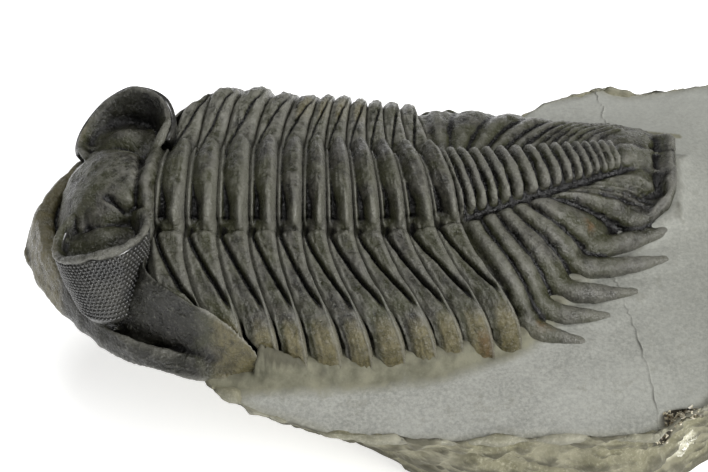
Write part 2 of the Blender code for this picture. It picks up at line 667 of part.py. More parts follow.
def make_rock(material):
    per_side = 2
    top, foot = matched_outlines(per_side)
    around = len(top)
    centre = np.array([28.0, -1.0])
    rings = []
    for part in (0.3, 0.62, 0.85):
        flat = centre + (top - centre) * part
        z = slab_height(flat[:, 0], flat[:, 1])
        rings.append(np.column_stack([flat, z]))
    for drop, share, rough in ROCK_SIDE:
        flat = top + (foot - top) * share
        z = np.full(around, -ROCK_THICKNESS * drop)
        if drop == 0.0:
            z = slab_height(flat[:, 0], flat[:, 1]) - 0.3
        else:
            away = flat - centre
            away = away / np.linalg.norm(away, axis=1)[:, None]
            flat = flat + away * (rough * ruggedness(flat[:, 0], flat[:, 1], z))[:, None]
            z = z + 0.5 * ruggedness(flat[:, 1], flat[:, 0], z)
        rings.append(np.column_stack([flat, z]))
    rings.append(np.column_stack([foot, np.full(around, -ROCK_THICKNESS)]))
    shifted = []
    for ring in rings:
        moved = ring + np.array([ORIGIN_SHIFT_X, ORIGIN_SHIFT_Y, ROCK_THICKNESS])
        shifted.append(moved * MM)
    return loft("matrix", shifted, material)


def main():
    clear_scene()
    shell = make_material("fossil_shell", (0.05, 0.047, 0.045), 0.3)
    lens = make_material("eye_lens_shell", (0.035, 0.033, 0.036), 0.22)
    stone = make_material("limestone", (0.24, 0.235, 0.21), 0.8)
    make_rock(stone)
    make_head(shell, lens)
    for number in range(len(RING_STATIONS)):
        make_segment(number, shell)
    make_tail(shell)


main()
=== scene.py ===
# %% [markdown]
# # A trilobite on the rock that it was prepared from
#
# The object is a fossil: a sea animal's shell turned to dark calcite, still lying on its block of
# grey limestone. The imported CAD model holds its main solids. This lesson dresses them: each piece
# of shell is modelled again with its ridges, furrows and lenses, the rock gets its broken side,
# and every surface gets a material. The model is loaded first, because everything is placed on it.

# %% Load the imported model
import math

import bmesh
import bpy
import numpy as np
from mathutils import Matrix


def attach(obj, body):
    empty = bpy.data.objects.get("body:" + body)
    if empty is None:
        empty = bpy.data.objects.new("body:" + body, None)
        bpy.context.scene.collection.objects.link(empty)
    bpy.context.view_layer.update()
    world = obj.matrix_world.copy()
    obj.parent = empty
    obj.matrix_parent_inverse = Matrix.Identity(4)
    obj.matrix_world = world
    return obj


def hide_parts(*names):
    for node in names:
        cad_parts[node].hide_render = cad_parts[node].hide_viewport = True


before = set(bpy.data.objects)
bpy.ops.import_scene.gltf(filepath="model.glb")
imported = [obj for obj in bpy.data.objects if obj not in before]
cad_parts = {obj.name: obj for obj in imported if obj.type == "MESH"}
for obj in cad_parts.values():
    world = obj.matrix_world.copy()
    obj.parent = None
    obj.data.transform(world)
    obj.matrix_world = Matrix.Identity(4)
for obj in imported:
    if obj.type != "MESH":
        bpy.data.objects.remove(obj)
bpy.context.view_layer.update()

MM = 0.001

# %% [markdown]
# ## The camera
#
# The photographer stood on the near side of the animal and looked down on it at a little under
# 45 degrees, from about a quarter of a metre. Making the camera first means that every piece can
# be judged from the right place at once. The lens angle comes from the size of the frame and a
# focal length in pixels, so it doesn't depend on Blender's render size.

# %% Camera
PHOTO_WIDTH, FOCAL_PIXELS = 708.0, 2002.0
CAMERA_ELEVATION = math.radians(44.5)
CAMERA_DISTANCE, CAMERA_TARGET = 260.0, (-7.4, 1.3, 21.0)


def add_object(name, data):
    """A new object for a mesh, camera or lamp, linked into the scene."""
    thing = bpy.data.objects.new(name, data)
    bpy.context.scene.collection.objects.link(thing)
    return thing


def make_camera():
    data = bpy.data.cameras.new("camera")
    data.sensor_width = 36.0
    data.angle = 2.0 * math.atan(0.5 * PHOTO_WIDTH / FOCAL_PIXELS)
    data.clip_start = 0.01
    camera = add_object("camera", data)
    back = np.array((0.0, -math.cos(CAMERA_ELEVATION), math.sin(CAMERA_ELEVATION)))
    camera.location = (np.array(CAMERA_TARGET) + CAMERA_DISTANCE * back) * MM
    camera.rotation_euler = (0.5 * math.pi - CAMERA_ELEVATION, 0.0, 0.0)
    bpy.context.scene.camera = camera
    return camera


camera = make_camera()
print("camera at", [round(value, 3) for value in camera.location])

# %% [markdown]
# ## Small tools for natural shapes
#
# A fossil has no straight edges, so its shapes are written as heights over a grid of points. Two
# functions do most of the work: `ease` goes smoothly from 0 to 1, and `hump` is a bell-shaped rise.
# Noise in a fixed lattice adds the unevenness that growth and burial left. It is worked out from
# the point itself and a seed, so each run of the script gives the same fossil.

# %% Curves and noise
LATTICE_PRIMES = np.array([374761393, 668265263, 2147483647])
SEED_PRIME, MIXING_PRIME = 974634777, 1274126177


def ease(start, end, value):
    part = np.clip((value - start) / (end - start), 0.0, 1.0)
    return part * part * (3.0 - 2.0 * part)


def hump(value, centre, width):
    return np.exp(-((value - centre) / width) ** 2)


def speckle(points, cell, seed):
    """Smooth noise from -1 to 1 that changes over about one cell, in mm."""
    points = np.asarray(points, dtype=float)
    flat = points.reshape(-1, 3) / cell
    corner = np.floor(flat).astype(np.int64)
    inside = flat - corner
    inside = inside * inside * (3.0 - 2.0 * inside)
    total = np.zeros(len(flat))
    for k in range(8):
        step = np.array([k & 1, (k >> 1) & 1, (k >> 2) & 1])
        mark = (corner + step) @ LATTICE_PRIMES + seed * SEED_PRIME
        mark = (mark ^ (mark >> 13)) * MIXING_PRIME
        value = ((mark ^ (mark >> 16)) & 0xFFFF) / 32767.5 - 1.0
        total += value * np.prod(np.where(step == 1, inside, 1.0 - inside), axis=1)
    return total.reshape(points.shape[:-1])


def roughness_at(points, cell, seed, octaves=3):
    """Noise with finer and weaker copies of itself on top."""
    total = 0.0
    for level in range(octaves):
        total = total + 0.5 ** level * speckle(points, cell * 0.5 ** level, seed + 31 * level)
    return total

# %% [markdown]
# ## From a grid of points to a closed piece
#
# Each piece is a raised surface on a grid, closed below by a wall and a flat face, as a cast would
# be. The relief is added along the surface's own normals, because heights alone would fade out on
# the steep flanks. A later helper measures where the finished surface is hollow or crested, and the
# materials read that as an attribute: hollows get darker, partly dirt and partly painted shade, and
# crests get lighter, partly wear and partly painted highlight.

# %% Mesh helpers
SAME_POINT = 1e-8


def grid_normals(grid):
    """Unit normals of a surface given as rows and columns of points, pointing up on the whole."""
    along = np.gradient(grid, axis=0)
    across = np.gradient(grid, axis=1)
    normal = np.cross(along, across)
    normal /= np.linalg.norm(normal, axis=-1, keepdims=True) + 1e-12
    return normal * np.sign(np.mean(normal[..., 2]))


def make_piece(name, points, faces, fields=None):
    """A mesh from points in mm, merged, with its faces turned outwards."""
    mesh = bpy.data.meshes.new(name)
    mesh.from_pydata((np.asarray(points) * MM).tolist(), [], faces)
    for field, values in (fields or {}).items():
        layer = mesh.attributes.new(field, "FLOAT", "POINT")
        layer.data.foreach_set("value", np.asarray(values, dtype=np.float32))
    work = bmesh.new()
    work.from_mesh(mesh)
    bmesh.ops.remove_doubles(work, verts=work.verts, dist=SAME_POINT)
    bmesh.ops.triangulate(work, faces=[face for face in work.faces if len(face.verts) > 4])
    bmesh.ops.recalc_face_normals(work, faces=work.faces)
    work.to_mesh(mesh)
    work.free()
    mesh.shade_smooth()
    return add_object(name, mesh)


def relief_solid(name, grid, low, fields):
    """Close a raised surface with a wall round its border, down to low, and a face under it."""
    rows, columns = grid.shape[:2]
    index = np.arange(rows * columns).reshape(rows, columns)
    quads = np.stack([index[:-1, :-1], index[1:, :-1], index[1:, 1:], index[:-1, 1:]], axis=-1)
    border = np.concatenate([index[0, :-1], index[:-1, -1], index[-1, :0:-1], index[:0:-1, 0]])
    foot = grid.reshape(-1, 3)[border].copy()
    foot[:, 2] = low if np.ndim(low) == 0 else low.reshape(-1)[border]
    under = rows * columns + np.arange(len(border))
    wall = np.stack([border, np.roll(border, -1), np.roll(under, -1), under], axis=-1)
    first, side = under[:columns], under[columns:columns + rows - 2]
    last = under[columns + rows - 2:2 * columns + rows - 2][::-1]
    other = under[2 * columns + rows - 2:][::-1]
    strips = np.stack([first[:-1], first[1:], last[1:], last[:-1]], axis=-1)
    ends = [[first[-1], *side, last[-1]], [first[0], *other, last[0]]]
    ends = [[int(number) for number in end] for end in ends if len(end) > 2]
    faces = quads.reshape(-1, 4).tolist() + wall.tolist() + strips.tolist() + ends
    points = np.concatenate([grid.reshape(-1, 3), foot])
    filled = {}
    for field, values in fields.items():
        flat = np.broadcast_to(values, (rows, columns)).reshape(-1)
        filled[field] = np.concatenate([flat, flat[border]])
    return make_piece(name, points, faces, filled)


def mesh_arrays(mesh):
    """Points in mm, unit normals and the two ends of each edge."""
    count = len(mesh.vertices)
    points, normals = np.zeros(count * 3), np.zeros(count * 3)
    mesh.vertices.foreach_get("co", points)
    mesh.vertices.foreach_get("normal", normals)
    edges = np.zeros(len(mesh.edges) * 2, dtype=np.int64)
    mesh.edges.foreach_get("vertices", edges)
    return points.reshape(-1, 3) / MM, normals.reshape(-1, 3), edges[0::2], edges[1::2]


def smoothed(points, first, second, steps, strength=0.5):
    """Each step moves every point part of the way to the middle of its neighbours."""
    count = len(points)
    degree = np.bincount(first, minlength=count) + np.bincount(second, minlength=count)
    degree = np.maximum(degree, 1)[:, None]
    result = points.copy()
    for _ in range(steps):
        total = np.zeros_like(result)
        for k in range(3):
            total[:, k] = np.bincount(first, result[second, k], count)
            total[:, k] += np.bincount(second, result[first, k], count)
        result += strength * (total / degree - result)
    return result


def set_points(mesh, points):
    mesh.vertices.foreach_set("co", (points * MM).reshape(-1))
    mesh.update()


def set_field(mesh, name, values):
    layer = mesh.attributes.get(name) or mesh.attributes.new(name, "FLOAT", "POINT")
    layer.data.foreach_set("value", np.asarray(values, dtype=np.float32))


def mark_hollows(piece, steps):
    """Attribute cavity: over 0 in a hollow and under 0 on a crest, in mm; more steps, wider ones."""
    points, normals, first, second = mesh_arrays(piece.data)
    calm = smoothed(points, first, second, steps)
    set_field(piece.data, "cavity", np.clip(np.sum((calm - points) * normals, axis=1), -0.6, 0.6))


def triangles(piece):
    return sum(len(face.vertices) - 2 for face in piece.data.polygons)


def open_edges(piece):
    """Edges that don't have exactly two faces; a closed piece has none."""
    corners = np.zeros(len(piece.data.loops), dtype=np.int64)
    piece.data.loops.foreach_get("edge_index", corners)
    return int(np.sum(np.bincount(corners, minlength=len(piece.data.edges)) != 2))

# %% [markdown]
# ## The measure of the body
#
# The animal lies slightly bent: its tail swings away from the line of the thorax, and its head
# nods the other way. All measures are therefore taken along and across the body's middle line, in
# millimetres above the rock, and one function bends them into place. These are the same measures
# as the CAD solids have, so each piece lands where its solid is.

# %% Body measure
ORIGIN_SHIFT, ROCK_THICKNESS = (-21.0, -0.4), 21.0
SHELL_FOOT = ROCK_THICKNESS - 0.4
BEND_START, BEND_END, TAIL_HEADING = 8.0, 30.0, math.radians(17.5)
HEAD_BEND, HEAD_HEADING = (-10.5, -3.0), math.radians(4.0)


def middle_line(s):
    """Place and heading of the body's middle line: two arcs with straight lines between."""
    s = np.asarray(s, dtype=float)
    tail_radius = (BEND_END - BEND_START) / TAIL_HEADING
    turned = np.clip((s - BEND_START) / tail_radius, 0.0, TAIL_HEADING)
    past = np.maximum(s - BEND_END, 0.0)
    head_radius = (HEAD_BEND[1] - HEAD_BEND[0]) / HEAD_HEADING
    nodded = np.clip((HEAD_BEND[1] - s) / head_radius, 0.0, HEAD_HEADING)
    before = np.maximum(HEAD_BEND[0] - s, 0.0)
    x = np.clip(s, HEAD_BEND[1], BEND_START) + tail_radius * np.sin(turned)
    x = x + past * math.cos(TAIL_HEADING) - head_radius * np.sin(nodded) - before * math.cos(HEAD_HEADING)
    y = tail_radius * (1.0 - np.cos(turned)) + past * math.sin(TAIL_HEADING)
    y = y + head_radius * (1.0 - np.cos(nodded)) + before * math.sin(HEAD_HEADING)
    return x, y, turned - nodded


def place(s, t, z):
    """From body measure (along, across, above the rock) to the object's frame, in mm."""
    x, y, heading = middle_line(s)
    wide = x - t * np.sin(heading) + ORIGIN_SHIFT[0]
    across = y + t * np.cos(heading) + ORIGIN_SHIFT[1]
    return np.stack(np.broadcast_arrays(wide, across, z + ROCK_THICKNESS), axis=-1)


def flat_places(points):
    """From the object's frame back to the rock's own x and y."""
    return points[:, 0] - ORIGIN_SHIFT[0], points[:, 1] - ORIGIN_SHIFT[1]


def body_measure(x, y):
    """Along and across the body for a point of the rock, found in a few steps."""
    s = np.array(x, dtype=float)
    for _ in range(6):
        line_x, line_y, heading = middle_line(s)
        s = s + (x - line_x) * np.cos(heading) + (y - line_y) * np.sin(heading)
    line_x, line_y, heading = middle_line(s)
    return s, (y - line_y) * np.cos(heading) - (x - line_x) * np.sin(heading)


def axis_width(s):
    """Half width of the raised middle lobe, from the neck ring to the end of the tail."""
    stations = (-12.0, -7.8, 0.0, 15.0, 22.0, 25.0, 30.0, 35.0, 41.0, 47.0, 52.5)
    return np.interp(s, stations, (6.9, 7.1, 7.6, 7.3, 6.7, 6.2, 5.1, 4.3, 3.5, 2.8, 1.9))


def furrow_height(s):
    stations = (-12.0, -7.8, 0.0, 9.0, 16.0, 25.0, 36.0, 47.0, 53.0)
    return np.interp(s, stations, (8.9, 9.4, 9.9, 9.8, 9.1, 7.9, 7.5, 7.1, 6.3))


def arch(part):
    """Cross-section of the middle lobe, 1 at the middle line and 0 at its two furrows."""
    return (1.0 - np.clip(np.abs(part), 0.0, 1.0) ** 2.3) ** 0.55

# %% [markdown]
# ## The thorax
#
# The thorax is eleven separate segments, each one ring over the middle lobe with a rib (pleura) on
# either side. A ring rises slowly to a crest near its back edge and drops steeply behind it, and
# a thin half ring in front of it slides under its neighbour. A pleura carries one slanting furrow,
# turns down at the fulcrum, and ends in a blunt tip. Sampling the cross-section at equal steps
# along its curve keeps the steep parts as finely meshed as the flat ones.

# %% Thorax shape
RING_STATIONS = (-7.8, -4.0, -0.1, 3.3, 6.5, 9.3, 12.4, 15.5, 18.5, 21.8, 25.0)
RING_TO_EDGE, RING_HEIGHT = 0.75, 4.1
HEAD_TO_THORAX, CHEEK_START = -10.9, 12.6
FULCRUM, FULCRUM_DROP = 16.6, 0.9
THORAX_HALF_WIDTH, TIP_STEP = 22.9, 0.25
HIDDEN_TIPS = {0: 19.8, 1: 22.2}
FAR_LIFT = (1.5, 1.8, 1.3, 0.5, 0.1, 0.0, -0.2, -0.5, -0.6, -0.7, -0.8)
GENAL_TIP = (2.6, 22.7)
FAR_SWEEP, SLIT_PAST_FULCRUM = 0.7, 2.9
SAMPLE, SEGMENT_ROWS = 0.17, 27


def sweep(t, s=0.0):
    """How far back a place this far across lies; less on the far side and at the last segments."""
    reach = (4.0 - 1.0 * ease(14.0, 26.0, s)) * np.where(np.asarray(t) > 0.0, FAR_SWEEP, 1.0)
    return reach * (np.clip(np.abs(t) - 8.0, 0.0, None) / 15.0) ** 1.5


def cheek_edge(across):
    """Back edge of the head: straight, then swung back along the cheek to the genal tip."""
    out = np.clip((np.abs(across) - CHEEK_START) / (GENAL_TIP[1] - CHEEK_START), 0.0, 1.0)
    return HEAD_TO_THORAX + (GENAL_TIP[0] - HEAD_TO_THORAX) * out ** 1.8


def ring_relief(u, t, inner):
    """One ring on the middle lobe; u runs 0 to 1 from its front edge to its back edge."""
    across = np.abs(t)
    flank = ease(0.2, 0.8, across / inner) * np.where(t > 0.0, 0.2, 1.0)
    front = 0.17 + 0.2 * flank
    wide = np.clip((u - front) / (0.99 - front), 0.0, 1.0)
    ring = (1.4 + 0.7 * flank) * np.sin(math.pi * wide ** 1.2) ** (0.5 + 0.25 * flank)
    half_ring = (0.45 + 0.35 * flank) * hump(u, 0.1, 0.06)
    bulb = 0.4 * hump(u, 0.62, 0.24) * hump(across, 0.85 * inner, 0.9)
    return ring + half_ring + bulb - 0.75 - 0.65 * flank


def pleura_relief(u, t, inner, fulcrum, outer):
    """One pleura: a slanting slit parts its two bands; past it come a lowered facet and a blade."""
    across = np.abs(t)
    far = np.where(t > 0.0, 1.0, 0.0)
    along_slit = (across - inner) / (fulcrum + SLIT_PAST_FULCRUM - inner)
    slant = np.clip(along_slit, 0.0, 1.0)
    down = np.clip((across - fulcrum) / (outer - fulcrum), 0.0, 1.0)
    line = 0.12 + 0.76 * slant
    slit = -(1.25 - 0.8 * far) * hump(u, line, 0.05 + 0.03 * slant) * ease(0.0, 0.06, slant)
    half_width = 0.5 * np.clip(1.02 - line, 0.06, None) + 0.02
    hind_band = 0.6 * np.sqrt(np.clip(1.0 - ((u - 0.5 - 0.5 * line) / half_width) ** 2, 0.0, 1.0))
    front_band = 0.5 * np.clip(1.0 - ((u - 0.5 * line) / (0.5 * line + 0.02)) ** 4, 0.0, 1.0)
    joint = -0.45 * (hump(u, 0.0, 0.05) + hump(u, 1.0, 0.04)) + 0.12 * hump(u, 0.93, 0.03)
    bands = slit + (hind_band + front_band * ease(0.1, 0.5, slant)) * (1.0 - 0.6 * far) + joint
    reach = 0.3 - 0.2 * ease(0.2, 0.8, down)
    facet = -(0.75 - 0.45 * far) * (1.0 - ease(0.0, reach, u))
    blade = 0.24 * np.clip(1.0 - ((u - 0.64) / 0.4) ** 2, 0.0, 1.0)
    thin_edge = 0.25 * hump(u, 0.93, 0.035) - 0.2 * hump(u, 1.0, 0.03)
    turn = ease(0.8, 1.08, along_slit)
    knob = 0.4 * hump(u, 0.64, 0.22) * hump(across, inner + 1.05, 0.7)
    dome = 0.9 * np.sqrt(np.clip(1.0 - ((u - 0.5) / 0.54) ** 2, 0.0, 1.0)) - 0.45
    return bands * (1.0 - turn) + (facet + blade + thin_edge) * turn + knob + far * dome


def pleura_profile(across, furrow, inner, outer, fulcrum):
    """Height of a pleura: flat near the middle lobe, then rounding down into the rock."""
    flat = np.clip((across - inner) / (fulcrum - inner), 0.0, 1.0)
    turn = np.clip((across - fulcrum) / (outer - fulcrum), 0.0, 1.0)
    top = furrow - FULCRUM_DROP * flat ** 1.6
    return top * np.sqrt(1.0 - turn ** 2.1) - 0.25 * ease(0.9, 1.0, turn)


def body_samples(inner, outer, height_at):
    """Places across one side of the body at equal steps along its curved cross-section."""
    close = np.sin(np.linspace(0.0, 0.5 * math.pi, 1500))
    fine = np.unique(np.concatenate([inner * close, inner + (outer - inner) * close]))
    run = np.concatenate([[0.0], np.cumsum(np.hypot(np.diff(fine), np.diff(height_at(fine))))])
    return np.interp(np.linspace(0.0, run[-1], int(run[-1] / SAMPLE) + 1), run, fine)

# %% [markdown]
# ### One segment after another
#
# The segments differ only by their place, so one function makes them all. Each is a little uneven
# in its own way, which noise with a seed of its own gives. The first two end under the cheeks and
# the third starts under them. Fields on each segment mark where the skin is brown, rusty, pale or
# dark, for the material to read.

# %% Make the eleven segments
def segment_fields(number, u, t, fulcrum, outer):
    """Where the skin is brown (patina), rusty, pale or dark."""
    patina = ease(fulcrum + 1.0, outer + 0.5, np.abs(t)) * (0.4 + 0.6 * ease(0.2, 0.5, u))
    olive = 0.9 * hump(t, 16.0, 3.0) * (3 < number < 8) * ease(0.1, 0.5, u)
    rust = 1.0 * hump(t, -21.8, 1.2) * (number == 9) + 0.5 * hump(t, -21.0, 1.0) * (number in (5, 7))
    return {"patina": np.maximum(patina, olive), "rust": rust * ease(0.3, 0.6, u),
            "pale": 0.8 * ease(7.0, 9.5, t), "dark": 0.9 * hump(t, -16.0, 3.6)}


def segment_surface(number):
    """Points and fields of one segment, rows from front to back and columns across the body."""
    ridge = RING_STATIONS[number]
    front = HEAD_TO_THORAX if number == 0 else RING_STATIONS[number - 1] + RING_TO_EDGE
    back = ridge + RING_TO_EDGE
    outer = THORAX_HALF_WIDTH - TIP_STEP * max(0, number - 6)
    tip = HIDDEN_TIPS.get(number, outer)
    middle = 0.5 * (front + back)
    inner, furrow = float(axis_width(middle)), float(furrow_height(middle))
    fulcrum = FULCRUM - 0.09 * max(0, number - 6) ** 2

    def height_at(across):
        lobe = furrow + RING_HEIGHT * arch(across / inner)
        side = pleura_profile(across, furrow, inner, outer, fulcrum)
        return np.where(across < inner, lobe, side)

    half = body_samples(inner, tip, height_at)
    t = np.concatenate([-half[:0:-1], half])[None, :]
    size = np.abs(t)
    u = np.concatenate([[-0.14, -0.07], np.linspace(0.0, 1.0, SEGMENT_ROWS), [1.03]])[:, None]
    taper = ease(fulcrum - 1.0, outer, size)
    start = front + sweep(t, front) + 0.04 * (back - front) * taper
    start = np.maximum(start, cheek_edge(size) - 0.1 - 0.4 * ease(CHEEK_START, 13.6, size))
    natural = back + sweep(t, back) + 0.1 * taper
    end = np.maximum(natural, start + 0.6)
    s = start + (end - start) * u
    off_centre = np.abs(2.0 * np.clip(u, 0.0, 1.0) - 1.3) ** 3
    round_off = (number > 1) * ease(outer - 3.0, outer, size) * off_centre
    reach = t * (1.0 - 0.5 * round_off / outer)
    high = height_at(size)
    window = np.hanning(7) / np.hanning(7).sum()
    high = np.convolve(np.pad(high[0], 3, mode="edge"), window, mode="valid")[None, :]
    far_side = ease(10.5, 16.5, t) * (1.0 - 0.6 * ease(18.0, outer, t))
    grid = place(s, reach, high + FAR_LIFT[number] * far_side + 0.0 * u)
    axis = np.clip((inner - size) / 0.5, 0.0, 1.0)
    relief = ring_relief(u, t, inner) * axis
    relief = relief + pleura_relief(u, t, inner, fulcrum, outer) * (1.0 - axis)
    pits = 1.0 - ease(0.2, 0.4, u) + ease(0.9, 1.0, u)
    relief = relief - (0.25 + 0.75 * pits) * hump(size, inner, 0.5)
    relief = relief - 1.1 * (1.0 - ease(-0.13, 0.0, u)) - (1.0 - 0.6 * taper) * ease(0.985, 1.03, u)
    relief = relief + 0.21 * speckle(grid, 3.2, 40 + number) + 0.16 * roughness_at(grid, 1.2, 60, 3)
    if number < 3:
        relief = relief - 0.4 * (1.0 - ease(0.0, 0.7, s - cheek_edge(size))) * ease(12.0, 13.5, size)
        relief = relief - 2.0 * ease(0.0, 0.5, cheek_edge(size) - natural) * ease(CHEEK_START, 14.0, size)
    streak = np.stack(np.broadcast_arrays(u * 13.0 + 20.0 * number, t / 2.2, 0.0 * t), axis=-1)
    relief = relief + 0.075 * speckle(streak, 1.0, 61) * (1.0 + 0.3 * axis)
    grid = grid + relief[..., None] * grid_normals(grid)
    return grid, segment_fields(number, u, t, fulcrum, outer)


def make_segments():
    made = []
    for number in range(len(RING_STATIONS)):
        grid, fields = segment_surface(number)
        made.append(relief_solid(f"segment_{number + 1:02d}", grid, SHELL_FOOT, fields))
    return made


segments = make_segments()
print("segments:", len(segments), "triangles:", sum(triangles(piece) for piece in segments))

# %% [markdown]
# ## The tail shield
#
# The tail is one fused plate. Its middle lobe tapers and carries fifteen rings that get closer
# and closer towards the end, and ribs run out from it and swing back. The ribs are broad bands
# that leave only narrow furrows between them, so they are made from a rib number that grows
# smoothly from the front of the plate to its end: a band is high where that number is whole.

# %% Tail shape
TAIL_FRONT, TAIL_LENGTH = 25.75, 32.1
TAIL_OUTLINE = ((0.0, 20.9), (2.7, 20.1), (6.5, 18.2), (9.8, 15.8), (13.7, 12.9), (16.5, 10.9),
                (20.0, 9.2), (25.0, 8.6), (28.5, 7.9), (31.0, 6.6), (31.9, 4.5), (32.1, 1.4))
FAR_OUTLINE = ((0.0, 20.9), (2.7, 20.6), (6.5, 19.8), (9.8, 18.6), (13.7, 17.0), (16.5, 15.8),
               (20.0, 14.3), (25.0, 12.4), (28.0, 11.2), (30.3, 9.5), (31.6, 7.0), (32.1, 1.4))
FAR_RIB_SWEEP = (0.08, 0.2, 0.35, 0.5, 0.62)
END_SHEAR, SHEAR_REACH = 0.43, (-9.0, 4.5)
RIB_FEET = (1.4, 3.4, 5.6, 7.8, 10.3)
SPINE_ROOTS = ((4.3, 19.3), (6.6, 17.6), (10.0, 15.1), (13.7, 12.2), (16.6, 9.9))
SPINE_TIPS = ((10.0, 23.1), (14.6, 20.0), (19.6, 17.2), (25.4, 13.0), (31.0, 7.3))
SPINE_RADIUS, SPINE_ROOT_SINK, SPINE_TIP_HEIGHT = 1.45, 0.6, 0.1
FAR_SPINE_SHARE, FAR_SPINE_SINK = (0.8, 0.6, 0.6, 0.0, 0.0), 1.1
INNER_RIBS, RING_COUNT, TAIL_END_RISE = 6, 15, 2.9


def tail_width(s, t=-1.0):
    """Half width of the plate; its far side runs out to where the ribs sink into the rock."""
    near, far = (np.interp(s, *np.array(outline).T) for outline in (TAIL_OUTLINE, FAR_OUTLINE))
    return np.where(np.asarray(t) > 0.0, far, near)


def tail_ring_places():
    """Crests of the tail's rings: wide apart at first, then widest, then close together."""
    steps = np.interp(np.arange(RING_COUNT), (0, 5, 11, 15), (1.4, 2.0, 1.15, 1.0))
    return 0.6 + np.concatenate([[0.0], np.cumsum(steps)])


def rib_number(s, t, inner):
    """Whole on the middle line of each rib, halfway on the furrows between them."""
    centres = []
    past = np.clip(np.abs(t) - inner, 0.0, None)
    for number, foot in enumerate(RIB_FEET):
        root_s, root_t = SPINE_ROOTS[number]
        out = np.clip(past / (root_t - inner), 0.0, 1.3)
        far_line = foot + FAR_RIB_SWEEP[number] * past ** 1.4
        centres.append(np.where(t > 0.0, far_line, foot + (root_s - foot) * out ** 1.9))
    for number in range(INNER_RIBS):
        foot = 12.7 + 1.55 * number
        far_line = foot + FAR_RIB_SWEEP[-1] * past ** 1.4
        centres.append(np.where(t > 0.0, far_line, foot + (2.35 + 0.25 * number) * past ** 1.1))
    for k in range(1, len(centres)):
        centres[k] = np.maximum(centres[k], centres[k - 1] + 0.35)
    value = (s - centres[0]) / 2.1
    for k in range(len(centres) - 1):
        part = (s - centres[k]) / (centres[k + 1] - centres[k])
        value = np.where(s >= centres[k], k + part, value)
    last = len(centres) - 1
    return np.where(s >= centres[last], last + (s - centres[last]) / 1.6, value)


def tail_relief(s, t, inner, out):
    size, far = np.abs(t), np.where(t > 0.0, 1.0, 0.0)
    places = tail_ring_places()
    ring = np.interp(s, places, np.arange(len(places)), left=-0.3)
    ring = np.where(s < places[0], (s - places[0]) / 1.5, ring)
    u = ring - np.floor(ring)
    strength = np.interp(s, (0.0, 8.0, 18.0, 23.4, 24.0), (1.0, 0.95, 0.75, 0.55, 0.0))
    flank = ease(0.2, 0.8, size / inner)
    band = 0.95 * ease(0.16, 0.5, u) * (1.0 - ease(0.88, 1.0, u))
    slot = -(0.45 + 0.55 * flank) * (hump(u, 0.12, 0.09) + hump(u, 1.12, 0.09))
    on_axis = (band + slot + 0.25 * flank * hump(u, 0.7, 0.25) - 0.6) * strength
    rib = rib_number(s, t, inner)
    off = rib - np.round(np.clip(rib, 0.0, 20.0))
    major = (1.0 - ease(4.2, 5.4, rib)) * (1.0 - far)
    height = 1.2 + 0.35 * major - 0.4 * far
    band = height * (1.0 - np.clip(np.abs(2.0 * off), 0.0, 1.0) ** (2.2 + 0.8 * major)) - 0.7 * height
    line = -0.2 * hump(off, 0.2, 0.04) * (1.0 - ease(2.2, 3.4, rib) * (1.0 - far)) * ease(0.15, 0.3, out)
    border = tail_width(s, t) - size + 1.4 * (1.0 - ease(12.0, 17.0, s))
    fade = ease(0.0, 0.1, out) * (1.0 - ease(10.3, 11.0, rib))
    fade = fade * np.maximum(major, ease(1.6, 2.6, border) * (1.0 - ease(27.0, 29.0, s)))
    fade = fade * (1.0 - far * ease(0.7, 1.0, out))
    rim = 0.6 * hump(end_distance(s, t), 1.1, 0.8) - 0.9 * hump(end_distance(s, t), 2.8, 0.8)
    on_side = (band + line) * fade + rim * ease(20.0, 24.0, s) * (1.0 - far * ease(0.4, 0.7, out))
    on_axis = (on_axis + rim * ease(24.0, 26.0, s)) * ease(0.0, 0.4, inner - size)
    return np.where(size < inner, on_axis, on_side)


def end_distance(s, t):
    """Distance in mm from the end of the plate, or from its near margin where that is closer."""
    return np.where(t < 0.0, np.minimum(TAIL_LENGTH - s, tail_width(s, t) - np.abs(t)), TAIL_LENGTH - s)


def tail_height(s, t):
    """Height above the rock of the tail shield, s mm behind its front and t mm across."""
    whole, size, far = s + TAIL_FRONT, np.abs(t), np.asarray(t) > 0.0
    inner, furrow = axis_width(whole), furrow_height(whole)
    outer = np.maximum(tail_width(s, t), inner + 0.5)
    out = np.clip((size - inner) / (outer - inner), 0.0, 1.0)
    bow = np.where(far, 5.0 - 2.8 * ease(6.0, 26.0, s), 4.4 - 2.7 * ease(1.0, 16.0, s))
    ending = 1.0 - ease(25.2, TAIL_LENGTH + 0.3, s)
    foot = 1.1 + TAIL_END_RISE * ease(23.0, 30.0, s) * np.where(far, 1.0 - ease(0.4, 0.85, out), 1.0)
    field = 1.1 + (furrow - 1.1) * (1.0 - out ** bow)
    rise = np.interp(s, (0.0, 12.0, 22.0, 26.0), (3.9, 2.8, 2.0, 1.2))
    height = np.where(size < inner, furrow + rise * arch(t / inner), field)
    return foot + (height - foot) * ending, inner, out

# %% [markdown]
# ### The plate and its spines
#
# Five ribs on each side run on past the margin as spines. A spine is a tapering rod along a bent
# path, which is what Curve to Mesh in Geometry Nodes is for: the path is a curve with three
# handles, a radius falls along it, and one tree with named inputs makes the eight that show. On
# the far side three are short and half sunk, and the last two lie in the rock. Where a spine
# leaves the plate, a voxel remesh of the two together gives the smooth root of something that
# grew in one piece.

# %% Geometry Nodes helpers
VOXEL = 0.22
NUMBERS, VECTORS = "ShaderNodeMath", "ShaderNodeVectorMath"


def give(tree, node, values):
    """Fill in a node: what is a socket gets linked, and the rest is set as it is."""
    for key, value in values.items():
        if isinstance(value, bpy.types.NodeSocket):
            tree.links.new(value, node.inputs[key])
        elif isinstance(key, int) or key in node.inputs:
            node.inputs[key].default_value = value
        else:
            setattr(node, key, value)
    return node


